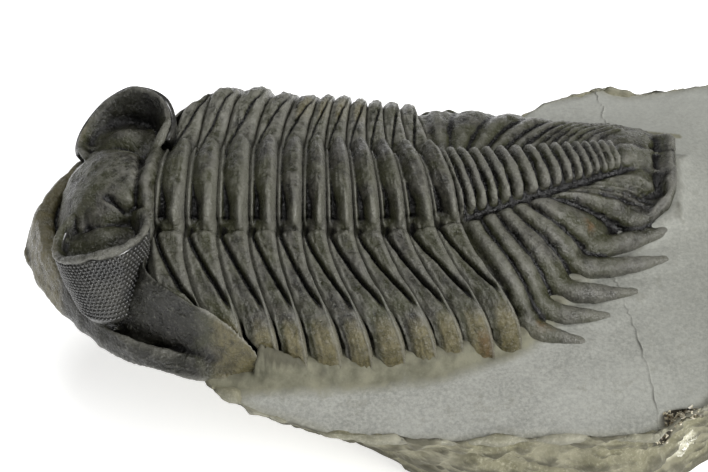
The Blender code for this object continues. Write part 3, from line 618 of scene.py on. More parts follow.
def add(tree, kind, values=None, links=None):
    """Add one node with its settings and links."""
    return give(tree, tree.nodes.new(kind), {**(values or {}), **(links or {})})


def new_tree(name, inputs, outputs=(("Geometry", "Geometry"),)):
    """A node tree with named inputs and outputs, and the sockets of its inputs."""
    tree = bpy.data.node_groups.new(name, "GeometryNodeTree")
    for sockets, way in ((inputs, "INPUT"), (outputs, "OUTPUT")):
        for label, kind in sockets:
            tree.interface.new_socket(name=label, in_out=way, socket_type="NodeSocket" + kind)
    return tree, tree.nodes.new("NodeGroupInput").outputs


def finish_tree(tree, geometry, material):
    """Every tree ends alike: real geometry, its material, and the way out."""
    real = add(tree, "GeometryNodeRealizeInstances", {0: geometry})
    named = add(tree, "GeometryNodeSetMaterial", {0: real.outputs[0], "Material": material})
    add(tree, "NodeGroupOutput", {0: named.outputs[0]})
    return tree


def settled(piece, modifier):
    """The plain mesh that a modifier gives, with the modifier taken off again."""
    depsgraph = bpy.context.evaluated_depsgraph_get()
    mesh = bpy.data.meshes.new_from_object(piece.evaluated_get(depsgraph))
    piece.modifiers.remove(modifier)
    return mesh


def run_tree(base, tree, values):
    """Run a tree on an object, with its inputs set by identifier, and keep the plain mesh."""
    modifier = base.modifiers.new("shape", "NODES")
    modifier.node_group = tree
    for item in tree.interface.items_tree:
        if item.in_out == "INPUT" and item.name in values:
            modifier[item.identifier] = values[item.name]
    return settled(base, modifier)


def forget(*things):
    for thing in things:
        bpy.data.objects.remove(thing, do_unlink=True)


def melt_together(name, meshes):
    """One closed skin over several closed meshes that run into each other."""
    work = bmesh.new()
    for mesh in meshes:
        work.from_mesh(mesh)
    joined = bpy.data.meshes.new(name)
    work.to_mesh(joined)
    work.free()
    piece = add_object(name, joined)
    modifier = piece.modifiers.new("melt", "REMESH")
    modifier.mode = "VOXEL"
    modifier.voxel_size = VOXEL * MM
    piece.data = settled(piece, modifier)
    piece.data.name = name
    piece.data.shade_smooth()
    return piece

# %% Spine tree
SPINE_STEPS, SPINE_SIDES, TAPER_POWER = 28, 18, 2.4
SPINE_END_RADIUS, BROKEN_END = 0.42, 0.5


def make_spine_tree():
    tree, given = new_tree("tapering_spine", (
        ("Geometry", "Geometry"), ("Root", "Vector"), ("Bend", "Vector"), ("Tip", "Vector"),
        ("Root radius", "Float"), ("Tip radius", "Float"), ("Shell", "Material")))
    path = add(tree, "GeometryNodeCurveQuadraticBezier", {"Resolution": SPINE_STEPS},
               {"Start": given["Root"], "Middle": given["Bend"], "End": given["Tip"]})
    along = add(tree, "GeometryNodeSplineParameter")
    slow = add(tree, NUMBERS, {"operation": "POWER", 0: along.outputs["Factor"], 1: TAPER_POWER})
    radius = add(tree, "ShaderNodeMapRange", {
        "Value": slow.outputs[0], "To Min": given["Root radius"], "To Max": given["Tip radius"]})
    tapered = add(tree, "GeometryNodeSetCurveRadius",
                  {"Curve": path.outputs[0], "Radius": radius.outputs[0]})
    section = add(tree, "GeometryNodeCurvePrimitiveCircle", {"Resolution": SPINE_SIDES, "Radius": 1.0})
    rod = add(tree, "GeometryNodeCurveToMesh", {"Fill Caps": True},
              {"Curve": tapered.outputs[0], "Profile Curve": section.outputs[0]})
    # where this socket exists, the curve's own radius isn't read
    if "Scale" in rod.inputs:
        tree.links.new(radius.outputs[0], rod.inputs["Scale"])
    return finish_tree(tree, rod.outputs[0], given["Shell"])


def spine_point(number, part, share, side):
    """Middle line of a rib and its spine: 0 at the axis, 0.5 at the margin, 1 at the tip."""
    foot_s = RIB_FEET[number]
    foot_t = float(axis_width(foot_s + TAIL_FRONT)) + 0.4
    root_s, root_t = SPINE_ROOTS[number]
    tip_s, tip_t = SPINE_TIPS[number]
    if part < 0.5:
        k = part / 0.5
        s, t = foot_s + (root_s - foot_s) * k ** 1.9, foot_t + (root_t - foot_t) * k
        return s, t, float(tail_height(np.array(s), np.array(side * t))[0]) - 0.6
    k = (part - 0.5) / 0.5 * share
    lean = 0.5 * math.sin(math.pi * k)
    start = float(tail_height(np.array(root_s), np.array(-root_t))[0]) - 0.55 * SPINE_RADIUS
    high = start + (SPINE_TIP_HEIGHT - start) * float(ease(-0.15, 0.9, k)) + 0.3 * math.sin(math.pi * k)
    return root_s + (tip_s - root_s) * k - 0.3 * lean, root_t + (tip_t - root_t) * k + lean, high


def make_spines(tree):
    """Meshes of the spines that show, each along its own bent path."""
    made = []
    for number in range(len(RIB_FEET)):
        for side in (-1.0, 1.0):
            share = FAR_SPINE_SHARE[number] if side > 0.0 else 1.0
            if share == 0.0:
                continue
            root, through, tip = (np.array(spine_point(number, part, share, side))
                                  for part in (0.46, 0.62, 1.0))
            root[2] -= SPINE_ROOT_SINK
            tip[2] -= FAR_SPINE_SINK * (side > 0.0)
            bend = 2.0 * through - 0.5 * (root + tip)
            ends = [place(TAIL_FRONT + p[0], side * p[1], p[2]) * MM for p in (root, bend, tip)]
            base = add_object("spine_path", bpy.data.meshes.new("spine_path"))
            tip_radius = SPINE_END_RADIUS + BROKEN_END * (1.0 - share)
            made.append(run_tree(base, tree, {
                "Root": ends[0].tolist(), "Bend": ends[1].tolist(), "Tip": ends[2].tolist(),
                "Root radius": SPINE_RADIUS * MM, "Tip radius": tip_radius * MM}))
            forget(base)
    return made

# %% Make the tail shield
TAIL_ROWS, TAIL_COLUMNS = 190, 251
TAIL_RUST = ((16.2, -8.6, 1.3), (5.6, -20.6, 1.6))


def tail_plate():
    """The plate without its spines, as a closed solid on a grid."""
    a = np.linspace(0.0, 1.0, TAIL_ROWS)[:, None]
    b = np.sin(0.5 * math.pi * np.linspace(-1.0, 1.0, TAIL_COLUMNS))[None, :]
    b = 0.45 * b + 0.55 * np.linspace(-1.0, 1.0, TAIL_COLUMNS)[None, :]
    pushed = (1.0 - a) ** 3
    edge = tail_width(a * TAIL_LENGTH, b)
    t = b * tail_width(a * TAIL_LENGTH + sweep(np.sign(b) * edge, TAIL_FRONT) * pushed, b)
    s = a * TAIL_LENGTH + sweep(t, TAIL_FRONT) * pushed
    height, inner, out = tail_height(s, t)
    slanted = END_SHEAR * np.clip(t, *SHEAR_REACH) * ease(20.0, 31.0, s)
    grid = place(TAIL_FRONT + s + slanted, t, height)
    relief = tail_relief(s, t, inner, out)
    relief = relief - 0.5 * hump(np.abs(t), inner, 0.45) * (1.0 - ease(23.5, 26.0, s))
    relief = relief - 1.0 * (1.0 - ease(-0.1, 0.25, s - sweep(t, TAIL_FRONT)))
    grid = grid + relief[..., None] * grid_normals(grid)
    grid[..., 2] = np.maximum(grid[..., 2], ROCK_THICKNESS + 0.2)
    return relief_solid("tail_plate", grid.transpose(1, 0, 2), SHELL_FOOT, {})


def paint_tail(piece, back, t, beyond):
    """Fields for the material: browner spines, a dark rim and crest, two rusty spots."""
    fading = 1.0 - 0.8 * ease(3.25, 9.25, back)
    set_field(piece.data, "patina", 0.45 * ease(-1.0, 1.5, beyond) * fading)
    rim = hump(end_distance(back - END_SHEAR * np.clip(t, *SHEAR_REACH), t), 1.0, 1.1)
    rim = rim * ease(21.0, 25.0, back)
    crest = 0.8 * hump(t, 1.8, 1.7) * ease(7.0, 13.0, back) * (1.0 - ease(24.0, 26.0, back))
    inner_field = (0.35 + 0.4 * ease(14.0, 20.0, back)) * (t < -1.0)
    set_field(piece.data, "dark", np.maximum(1.5 * rim, np.maximum(crest, inner_field)))
    rust = [1.1 * np.exp(-np.hypot(back - a, t - b) ** 2 / c ** 2) for a, b, c in TAIL_RUST]
    set_field(piece.data, "rust", sum(rust))


def make_tail():
    plate = tail_plate()
    piece = melt_together("tail_shield", [plate.data] + make_spines(make_spine_tree()))
    forget(plate)
    points, normals, first, second = mesh_arrays(piece.data)
    s, t = body_measure(*flat_places(points))
    back = s - TAIL_FRONT
    beyond = np.abs(t) - tail_width(back, t)
    rooted = (hump(beyond, 0.0, 1.6) * (back < 19.0) * (back > 2.5))[:, None]
    points = smoothed(points, first, second, 1)
    points = points + rooted * (smoothed(points, first, second, 24) - points)
    points += normals * (0.08 * speckle(points, 3.2, 7) + 0.1 * roughness_at(points, 1.2, 8, 3))[:, None]
    set_points(piece.data, points)
    paint_tail(piece, back, t, beyond)
    return piece


tail = make_tail()
print("tail triangles:", triangles(tail))

# %% [markdown]
# ## The head shield
#
# The head is one plate too: a swollen glabella between the eyes with slanting slots in its flanks,
# cheeks with a deep furrow inside their border, and a thick smooth snout. Two towers stand on the
# cheeks and carry the eyes. Their walls lean outwards, so heights over a grid can't make them: they
# are lofted from rings instead and then melted together with the plate.

# %% Head shape
HEAD_HALF_WIDTH, HEAD_WIDEST, NOSE = 23.0, -4.7, -29.0
CHEEK_TURN, FRONT_POWER, SIDE_POWER = 0.86, 1.4, 1.6
SNOUT_WIDTH, FREE_EDGE = 6.4, (-13.0, -9.5)
GLABELLA_TOP, GLABELLA_FRONT = 13.0, -24.2


def front_edge(turn):
    """Outer edge of the head from the nose (0) round the cheek to the genal tip (1)."""
    angle = 0.5 * math.pi * np.minimum(turn, CHEEK_TURN) / CHEEK_TURN
    x = HEAD_WIDEST - (HEAD_WIDEST - NOSE) * np.abs(np.cos(angle)) ** (2.0 / FRONT_POWER)
    y = HEAD_HALF_WIDTH * np.sin(angle) ** (2.0 / SIDE_POWER)
    part = np.clip((turn - CHEEK_TURN) / (1.0 - CHEEK_TURN), 0.0, 1.0)
    x = np.where(turn > CHEEK_TURN, HEAD_WIDEST + (GENAL_TIP[0] - HEAD_WIDEST) * part, x)
    y = np.where(turn > CHEEK_TURN, HEAD_HALF_WIDTH + (GENAL_TIP[1] - HEAD_HALF_WIDTH) * part ** 1.6, y)
    return x, y


def edge_distance(x, across):
    """Distance in mm from the outer edge of the head."""
    ahead = np.clip((HEAD_WIDEST - x) / (HEAD_WIDEST - NOSE), 0.0, None)
    wide = across / HEAD_HALF_WIDTH
    value = 1.0 - ahead ** FRONT_POWER - wide ** SIDE_POWER
    slope_x = FRONT_POWER * np.maximum(ahead, 0.02) ** (FRONT_POWER - 1.0) / (HEAD_WIDEST - NOSE)
    slope_y = SIDE_POWER * np.maximum(wide, 0.02) ** (SIDE_POWER - 1.0) / HEAD_HALF_WIDTH
    slope_x = np.where(ahead > 0.0, slope_x, 0.0)
    return value / np.hypot(slope_x, slope_y)


def glabella_width(x):
    stations = (-24.2, -23.4, -22.0, -19.6, -17.0, -14.2, -13.0, -11.9, -10.9)
    return np.interp(x, stations, (1.5, 4.6, 7.2, 8.8, 8.0, 6.2, 5.9, 6.9, 7.0))


def head_ground(x, t):
    """Cheeks, border and snout: the head without its glabella and eyes."""
    edge = edge_distance(x, t)
    cheek_top = np.interp(x, (-27.0, -22.0, -15.0, -11.0, 2.0), (2.4, 3.0, 7.6, 9.3, 9.3))
    side = np.clip((t - 14.0) / (21.6 - 14.0), 0.0, 1.0)
    cheek = 1.2 + (cheek_top - 1.2) * np.sqrt(1.0 - side ** 2.0)
    grooved = 1.0 - ease(-8.5, -3.0, x)
    steep = 1.7 + 0.5 * ease(-12.0, -8.0, x)
    capped = np.minimum(cheek, 0.5 + steep * np.clip(edge - 1.7, 0.0, None))
    rounded = np.minimum(cheek, 0.7 + 3.0 * np.sqrt(np.clip(edge - 0.3, 0.0, None)))
    cheek = capped * grooved + rounded * (1.0 - grooved)
    forward = ease(-17.5, -23.0, x)
    to_lobe = 6.5 * np.clip(np.hypot(np.minimum(x + 19.0, 0.0) / 5.3, t / 8.9) - 1.0, 0.0, None)
    border = 1.8 + 1.6 * ease(-15.0, -7.0, x)
    width = border + (np.minimum(edge + to_lobe, SNOUT_WIDTH) - border) * forward
    rim_top = 2.0 + 3.3 * forward
    across_rim = np.clip(edge / width, 0.0, 1.0)
    rise = np.sin(0.5 * math.pi * np.clip(across_rim / 0.5, 0.0, 1.0)) ** 0.7
    fall = ((rim_top + 0.5) * (1.0 - forward) + 0.3 * forward) * ease(0.55, 1.0, across_rim)
    rim = -0.5 + (rim_top + 0.5) * rise - fall * np.maximum(grooved, 0.15)
    blend = ease(0.84, 1.06, edge / width)
    ground = rim * (1.0 - blend) + np.maximum(cheek, 0.7) * blend
    behind = cheek_edge(t) - x
    wrapped = pleura_profile(t, 9.9, 7.3, HEAD_HALF_WIDTH + 0.3, FULCRUM) + 0.2
    ground = ground + (wrapped - ground) * (1.0 - ease(0.3, 4.0, behind)) * ease(CHEEK_START, 15.5, t)
    hind = 0.55 * hump(behind, 0.25, 0.4) - 0.5 * hump(behind, 2.0, 0.8) * (1.0 - ease(16.0, 19.0, t))
    trough = 1.5 * hump(edge, width + 0.3, 0.6) * (1.0 - forward) * ease(-4.5, -8.0, x)
    return ground + hind * ease(0.0, 2.0, edge) - trough


def glabella_height(x, t, half):
    """The swollen middle of the head with its slots and the neck ring behind it."""
    ahead = np.clip((-14.0 - x) / (-14.0 - GLABELLA_FRONT), 0.0, 1.0)
    foot = np.interp(x, (-24.2, -20.0, -12.0), (2.6, 4.6, 8.6))
    top = 3.4 + (GLABELLA_TOP - 3.4) * np.sqrt(1.0 - ahead ** 2.3)
    inside = np.clip(t / half, 0.0, 1.0)
    lobe = foot + (top - foot) * (1.0 - inside ** 2.6) ** 0.55
    lobe = lobe - 1.6 * hump(x, -13.3, 0.5) * (0.45 + 0.55 * inside)
    lobe = lobe - 0.7 * hump(x, -10.95, 0.35) + 0.35 * hump(x, -11.9, 0.6)
    slot_1 = hump(x, -13.0 + 1.5 * (t - 5.2), 0.75) * ease(4.3, 5.0, t) * ease(0.0, 0.8, -11.6 - x)
    slot_2 = hump(x, -16.0 + 2.1 * (t - 4.4), 0.65) * ease(3.6, 4.4, t) * ease(0.0, 1.0, -13.9 - x)
    slot_3 = hump(x, -19.6 + 0.3 * (t - 5.0), 0.45) * ease(4.6, 6.0, t)
    return lobe - 2.3 * slot_1 - 2.0 * slot_2 - 0.5 * slot_3


def head_height(x, t):
    half = glabella_width(x)
    on_lobe = (t < half) & (x > GLABELLA_FRONT)
    trench = hump(t, half + 0.3, 1.0) * ease(-22.5, -18.5, x) * (1.0 - ease(-12.5, -11.0, x))
    ground = head_ground(x, t) - 1.9 * trench
    return np.where(on_lobe, glabella_height(x, t, half), ground)

# %% Eye towers
EYE_CENTRE, EYE_TOP_RADII = (-16.8, 9.4), (5.9, 6.1)
EYE_FOOT_CENTRE, EYE_FOOT_RADII = (-15.5, 12.3), (3.8, 4.9)
EYE_RIM_HEIGHT, EYE_FOOT_HEIGHT = 13.0, 1.7
LENS_HALF_ANGLE = math.radians(112.0)
TOWER_WALL = ((0.0, -0.4, 0.9), (0.3, -0.35, 0.0), (0.65, -0.35, 0.0), (0.91, -0.35, 0.0),
              (0.94, 0.2, 0.0), (0.975, 0.4, 0.0), (1.0, 0.25, -0.05), (1.0, -0.25, -0.1))
HOLLOW_STEPS = (-0.8, -1.5, -2.5, -3.5, -4.5, -5.5)
TOWER_RINGS, TOWER_SIDES = 90, 132


def eye_place(angle, level, side, offset):
    """A point of the eye cone; level 0 at its foot and 1 at its rim, angle 0 straight out."""
    bow = level ** 0.8
    centre = [EYE_FOOT_CENTRE[k] + (EYE_CENTRE[k] - EYE_FOOT_CENTRE[k]) * bow for k in (0, 1)]
    radii = [EYE_FOOT_RADII[k] + (EYE_TOP_RADII[k] - EYE_FOOT_RADII[k]) * bow + offset for k in (0, 1)]
    return centre[0] + radii[0] * np.sin(angle), side * (centre[1] + radii[1] * np.cos(angle))


def rim_height(angle):
    """The rim is high at the side and back and falls towards the glabella and the front."""
    x = EYE_CENTRE[0] + EYE_TOP_RADII[0] * np.sin(angle)
    high = np.interp(x, (-22.7, -19.8, -16.9, -12.1, -10.9), (8.8, 11.3, EYE_RIM_HEIGHT, 13.4, 12.8))
    inward = ease(95.0, 165.0, np.abs(np.degrees(angle)))
    return high - inward * (high - 9.2)


def wall_height(angle, level):
    return EYE_FOOT_HEIGHT + (rim_height(angle) - EYE_FOOT_HEIGHT) * level


def hollow_height(x, t):
    """Inside the rim: a deep hollow under its outer part and a low mound next to the glabella."""
    mound = 2.3 * np.exp(-((t - 9.2) / 2.5) ** 2 - ((x + 16.4) / 3.3) ** 2)
    return 8.3 + 0.09 * (x + 17.0) + mound


def lofted(name, rings, fields=None):
    """A closed piece through rings of equally many points, with a face over each end."""
    count, around = len(rings), len(rings[0])
    index = np.arange(count * around).reshape(count, around)
    ahead = np.roll(index, -1, axis=1)
    quads = np.stack([index[:-1], ahead[:-1], ahead[1:], index[1:]], axis=-1).reshape(-1, 4)
    faces = quads.tolist() + [index[0, ::-1].tolist(), index[-1].tolist()]
    return make_piece(name, np.concatenate(rings), faces, fields)


def make_tower(side):
    """The stalk under a palpebral lobe: leaning wall, rounded rim and hollow top."""
    profile = np.array(TOWER_WALL + tuple((1.0, offset, 0.0) for offset in HOLLOW_STEPS))
    stations = np.arange(len(profile))
    angles = np.linspace(-math.pi, math.pi, TOWER_SIDES, endpoint=False)
    rings = []
    for step in np.linspace(0, len(profile) - 1, TOWER_RINGS):
        level, offset, lower = (float(np.interp(step, stations, profile[:, k])) for k in range(3))
        x, y = eye_place(angles, level, side, offset)
        z = wall_height(angles, level) - lower
        inward = ease(-0.35, -1.7, offset) if level > 0.99 else 0.0
        rings.append(place(x, y, z + (hollow_height(x, np.abs(y)) - z) * inward))
    return lofted("eye_tower", rings)

# %% Make the head shield
HEAD_ROWS, HEAD_HALF_COLUMNS = 104, 118


def head_plate():
    """The plate without its eye towers, as a closed solid on a grid."""
    even = np.linspace(-1.0, 1.0, 2 * HEAD_HALF_COLUMNS + 1)[None, :]
    turn = 0.5 * np.sin(0.5 * math.pi * even) + 0.5 * even
    size = np.minimum(np.abs(turn), 0.992)
    back_y = GENAL_TIP[1] * size
    back_x = cheek_edge(back_y)
    front_x, front_y = front_edge(size)
    front_t = np.sign(turn) * front_y
    front_x = front_x - 0.5 * hump(front_t, -2.6, 2.4) + 0.7 * hump(front_t, 2.6, 2.2)
    part = np.linspace(0.0, 1.0, HEAD_ROWS)[:, None] ** 0.95
    x = back_x + (front_x - back_x) * part
    y = back_y + (front_y - back_y) * part
    lowest = np.interp(x, FREE_EDGE, (-0.5, 0.2))
    grid = place(x, np.sign(turn) * y, np.maximum(head_height(x, y), lowest))
    return relief_solid("head_plate", grid, ROCK_THICKNESS + np.interp(x, FREE_EDGE, (-1.3, -0.4)), {})


def paint_head(piece, s, t, behind, snout):
    """Fields for the material: brown snout and genal tip, dark cheek, pale hind edge, a crust."""
    size = np.abs(t)
    genal = 0.8 * ease(16.0, 21.0, size) * ease(-6.0, -1.0, s)
    pale = hump(behind, 0.3, 0.5) * ease(13.0, 15.0, size) + 0.7 * hump(t, 0.0, 6.5) * ease(-24.0, -21.0, s)
    set_field(piece.data, "patina", np.maximum(snout, genal))
    set_field(piece.data, "dark", 1.6 * ease(9.5, 13.0, size) * (1.0 - ease(-6.5, -3.0, s)) * (1.0 - snout))
    set_field(piece.data, "pale", np.minimum(pale, 1.0))
    set_field(piece.data, "crust", 1.3 * hump(s, -8.3, 1.9) * hump(t, -20.6, 1.1))


def make_head():
    plate, towers = head_plate(), [make_tower(side) for side in (-1.0, 1.0)]
    print("open edges before melting:", open_edges(plate), [open_edges(tower) for tower in towers])
    piece = melt_together("head_shield", [plate.data] + [tower.data for tower in towers])
    forget(plate, *towers)
    points, normals, first, second = mesh_arrays(piece.data)
    s, t = body_measure(*flat_places(points))
    size = np.abs(t)
    behind = cheek_edge(size) - s
    points = smoothed(points, first, second, 2)
    edge = (hump(behind, 0.0, 1.0) * ease(12.0, 14.0, size))[:, None]
    points = points + edge * (smoothed(points, first, second, 12) - points)
    snout = ease(-22.6, -25.6, s - 0.05 * size ** 1.5)
    lumps = 0.22 * speckle(points, 3.4, 17) + 0.35 * snout * speckle(points, 4.6, 19)
    points += normals * (lumps + 0.12 * roughness_at(points, 1.3, 18, 3))[:, None]
    set_points(piece.data, points)
    paint_head(piece, s, t, behind, snout)
    return piece


head = make_head()
print("head triangles:", triangles(head))

# %% [markdown]
# ## The eyes
#
# Each eye is a curved wall of some hundreds of separate lenses, set in slanting files. The wall is
# a ruled surface: every file runs straight from a line at the foot of the tower to a line under
# its rim. That is a rule, so a Geometry Nodes tree makes it from those two lines. The same small
# group places the wall and the lenses, and each lens is one low-poly bead set half into the wall.

# %% Lens wall trees
LENS_FILES, LENS_ROWS, LENS_RADIUS = 37, 17, 0.27
LENS_SPAN, WALL_GRID = (0.965, 0.9), (96, 34)
WALL_LEVELS, WALL_LINE_POINTS = (0.08, 0.925), 60
WALL_BULGE, WALL_THICKNESS, WALL_LEAN = 0.25, 0.9, 0.85


def make_wall_rule():
    """Group: a place on the wall between two lines, and the direction out of the wall there."""
    tree, given = new_tree("wall_rule", (
        ("Lines", "Geometry"), ("Along", "Float"), ("Up", "Float"), ("Bulge", "Float"), ("Side", "Float")),
        (("Position", "Vector"), ("Outward", "Vector")))
    low, high = (add(tree, "GeometryNodeSampleCurve", {"mode": "FACTOR", "Curve Index": number},
                     {"Curves": given["Lines"], "Factor": given["Along"]}).outputs for number in (0, 1))
    raised = add(tree, NUMBERS, {"operation": "POWER", 0: given["Up"], 1: WALL_LEAN})
    straight = add(tree, "ShaderNodeMix", {"data_type": "VECTOR", 0: raised.outputs[0],
                                           4: low["Position"], 5: high["Position"]})
    rise = add(tree, VECTORS, {"operation": "SUBTRACT", 0: high["Position"], 1: low["Position"]})
    cross = add(tree, VECTORS, {"operation": "CROSS_PRODUCT", 0: high["Tangent"], 1: rise.outputs[0]})
    unit = add(tree, VECTORS, {"operation": "NORMALIZE", 0: cross.outputs[0]})
    outward = add(tree, VECTORS, {"operation": "SCALE", 0: unit.outputs[0], "Scale": given["Side"]})
    half_turn = add(tree, NUMBERS, {"operation": "MULTIPLY", 0: given["Up"], 1: math.pi})
    swell = add(tree, NUMBERS, {"operation": "SINE", 0: half_turn.outputs[0]})
    bulge = add(tree, NUMBERS, {"operation": "MULTIPLY", 0: swell.outputs[0], 1: given["Bulge"]})
    push = add(tree, VECTORS, {"operation": "SCALE", 0: outward.outputs[0], "Scale": bulge.outputs[0]})
    spot = add(tree, VECTORS, {"operation": "ADD", 0: straight.outputs[1], 1: push.outputs[0]})
    add(tree, "NodeGroupOutput", {"Position": spot.outputs[0], "Outward": outward.outputs[0]})
    return tree


def grid_factors(tree):
    """Along and up, each 0 to 1, from the places of a flat unit grid."""
    split = add(tree, "ShaderNodeSeparateXYZ", {0: add(tree, "GeometryNodeInputPosition").outputs[0]})
    return [add(tree, NUMBERS, {"operation": "ADD", 0: split.outputs[axis], 1: 0.5}).outputs[0]
            for axis in ("X", "Y")]


def wall_spot(tree, rule, given, along, up):
    """Place and outward direction on the wall, from the shared rule."""
    lines = add(tree, "GeometryNodeMeshToCurve", {0: given["Geometry"]})
    return add(tree, "GeometryNodeGroup", {"node_tree": rule}, {
        "Lines": lines.outputs[0], "Along": along, "Up": up,
        "Bulge": given["Bulge"], "Side": given["Side"]}).outputs


def make_wall_tree(rule):
    """The bare wall between the lenses."""
    tree, given = new_tree("lens_wall", (
        ("Geometry", "Geometry"), ("Bulge", "Float"), ("Side", "Float"), ("Shell", "Material")))
    grid = add(tree, "GeometryNodeMeshGrid", {
        "Size X": 1.0, "Size Y": 1.0, "Vertices X": WALL_GRID[0], "Vertices Y": WALL_GRID[1]})
    spot = wall_spot(tree, rule, given, *grid_factors(tree))
    moved = add(tree, "GeometryNodeSetPosition",
                {0: grid.outputs["Mesh"], "Position": spot["Position"]})
    return finish_tree(tree, moved.outputs[0], given["Shell"])


def make_lens_tree(rule):
    """Beads in staggered rows on the wall: every other row is half a file further on."""
    tree, given = new_tree("lens_beads", (
        ("Geometry", "Geometry"), ("Files", "Int"), ("Rows", "Int"), ("Lens radius", "Float"),
        ("Bulge", "Float"), ("Side", "Float"), ("Lens", "Material")))
    grid = add(tree, "GeometryNodeMeshGrid", {"Size X": LENS_SPAN[0], "Size Y": LENS_SPAN[1]},
               {"Vertices X": given["Files"], "Vertices Y": given["Rows"]})
    along, up = grid_factors(tree)
    gaps = add(tree, NUMBERS, {"operation": "SUBTRACT", 0: given["Rows"], 1: 1.0})
    step = add(tree, NUMBERS, {"operation": "MULTIPLY", 0: up, 1: gaps.outputs[0]})
    for operation, value in (("DIVIDE", LENS_SPAN[1]), ("ADD", 20.0), ("ROUND", 0.0), ("MODULO", 2.0),
                             ("MULTIPLY", 0.5 * LENS_SPAN[0]), ("DIVIDE", given["Files"]), ("ADD", along)):
        step = add(tree, NUMBERS, {"operation": operation, 0: step.outputs[0], 1: value})
    spot = wall_spot(tree, rule, given, step.outputs[0], up)
    facing = add(tree, "GeometryNodeCaptureAttribute", {0: grid.outputs["Mesh"]})
    facing.capture_items.new("VECTOR", "Outward")
    tree.links.new(spot["Outward"], facing.inputs["Outward"])
    points = add(tree, "GeometryNodeMeshToPoints",
                 {0: facing.outputs[0], "Position": spot["Position"]})
    turned = add(tree, "FunctionNodeAlignRotationToVector", {"axis": "Z"},
                 {"Vector": facing.outputs["Outward"]})
    bead = add(tree, "GeometryNodeMeshUVSphere", {"Segments": 8, "Rings": 5},
               {"Radius": given["Lens radius"]})
    uneven = add(tree, "FunctionNodeRandomValue", {"data_type": "FLOAT", 2: 0.9, 3: 1.08, "Seed": 11})
    beads = add(tree, "GeometryNodeInstanceOnPoints",
                {"Points": points.outputs[0], "Instance": bead.outputs["Mesh"],
                 "Rotation": turned.outputs[0], "Scale": uneven.outputs[1]})
    return finish_tree(tree, beads.outputs[0], given["Lens"])

# %% Make the eyes
def wall_lines(name, side):
    """The two lines of the ruled wall: one at the tower's foot and one under its rim."""
    angles = np.linspace(-LENS_HALF_ANGLE, LENS_HALF_ANGLE, WALL_LINE_POINTS)
    points = [place(*eye_place(angles, level, side, 0.0), wall_height(angles, level))
              for level in WALL_LEVELS]
    chains = [(start + k, start + k + 1)
              for start in (0, WALL_LINE_POINTS) for k in range(WALL_LINE_POINTS - 1)]
    mesh = bpy.data.meshes.new(name)
    mesh.from_pydata((np.concatenate(points) * MM).tolist(), chains, [])
    return add_object(name, mesh)


def make_eye(name, side, wall_tree, lens_tree):
    base = wall_lines(name + "_lines", side)
    shared = {"Bulge": WALL_BULGE * MM, "Side": -side}
    wall = run_tree(base, wall_tree, shared)
    beads = run_tree(base, lens_tree, {"Files": LENS_FILES, "Rows": LENS_ROWS,
                                       "Lens radius": LENS_RADIUS * MM, **shared})
    forget(base)
    piece = add_object(name, wall)
    thick = piece.modifiers.new("thickness", "SOLIDIFY")
    thick.thickness = WALL_THICKNESS * MM
    thick.offset = -1.0
    solid = settled(piece, thick)
    work = bmesh.new()
    work.from_mesh(solid)
    work.from_mesh(beads)
    bmesh.ops.recalc_face_normals(work, faces=work.faces)
    work.to_mesh(solid)
    work.free()
    piece.data = solid
    solid.shade_smooth()
    return piece


wall_rule = make_wall_rule()
wall_tree, lens_tree = make_wall_tree(wall_rule), make_lens_tree(wall_rule)
near_eye = make_eye("near_eye", -1.0, wall_tree, lens_tree)
far_eye = make_eye("far_eye", 1.0, wall_tree, lens_tree)
print("eye triangles:", triangles(near_eye), triangles(far_eye))

# %% [markdown]
# ## The rock
#
# The block is limestone: ground smooth on top round the fossil, broken and craggy on its sides,
# with a crack that runs under the tail and a small vug in the near edge. Its outline has sharp
# corners where it broke. The top is made as rings that shrink towards the middle, and the sides
# as levels that go down and in, so the mesh follows the edge and the edge can be chipped.

# %% Rock shape
ROCK_TOP = ((71.0, 2.0), (70.5, 19.0), (67.5, 33.2), (54.0, 30.6), (48.5, 32.0), (42.0, 29.4),
            (37.0, 25.9), (34.6, 23.4), (18.0, 24.2), (1.0, 23.6), (-9.0, 17.5), (-15.5, 4.0),
            (-14.0, -10.0), (-5.4, -22.4), (1.0, -27.8), (10.7, -31.6), (27.0, -32.4), (49.0, -31.4),
            (56.2, -26.8), (66.5, -17.0))
ROCK_FOOT = ((68.5, 1.5), (68.0, 17.0), (64.5, 30.0), (53.0, 28.0), (47.0, 28.5), (41.0, 26.0),
             (36.0, 23.0), (33.0, 22.4), (19.0, 22.0), (9.0, 18.0), (4.0, 11.5), (2.5, 2.0), (6.0, -8.0),
             (14.0, -15.5), (21.0, -20.5), (30.0, -26.0), (37.0, -29.5), (48.0, -28.5), (54.0, -22.5),
             (64.0, -15.5))
ROCK_CENTRE = (28.0, -1.0)
ROCK_DEPTHS, ROCK_SHARES = (0.0, 0.1, 0.32, 0.6, 0.85, 1.0), (0.0, 0.16, 0.5, 0.78, 0.95, 1.0)
CRACK = ((46.5, -5.9), (47.2, -8.0), (47.5, -10.7), (48.2, -13.2), (48.8, -17.4), (49.5, -22.4),
         (49.9, -26.4), (49.9, -32.5))
FAR_CRACK = ((47.5, 32.0), (47.8, 28.8), (48.4, 27.5), (47.9, 25.8), (48.6, 22.0))
HEAD_AND_THORAX = ((-29.0, 0.0), (-27.5, 8.5), (-24.0, 14.5), (-18.0, 19.2), (-10.0, 22.0), (-4.7, 22.7),
                   (2.0, 22.9), (20.0, 22.4), (TAIL_FRONT, 20.9))
GENAL_STRIP = ((2.3, 22.4), (4.7, 22.9), (7.4, 23.3))
FAR_TRACE = ((51.5, 12.2), (62.0, 8.0))
VUG_PLACE, VUG_SIZE = (52.4, -28.6, -3.0), (5.6, 2.9, 2.4)
VUG_DEPTH = (0.0, 1.9, -0.5)
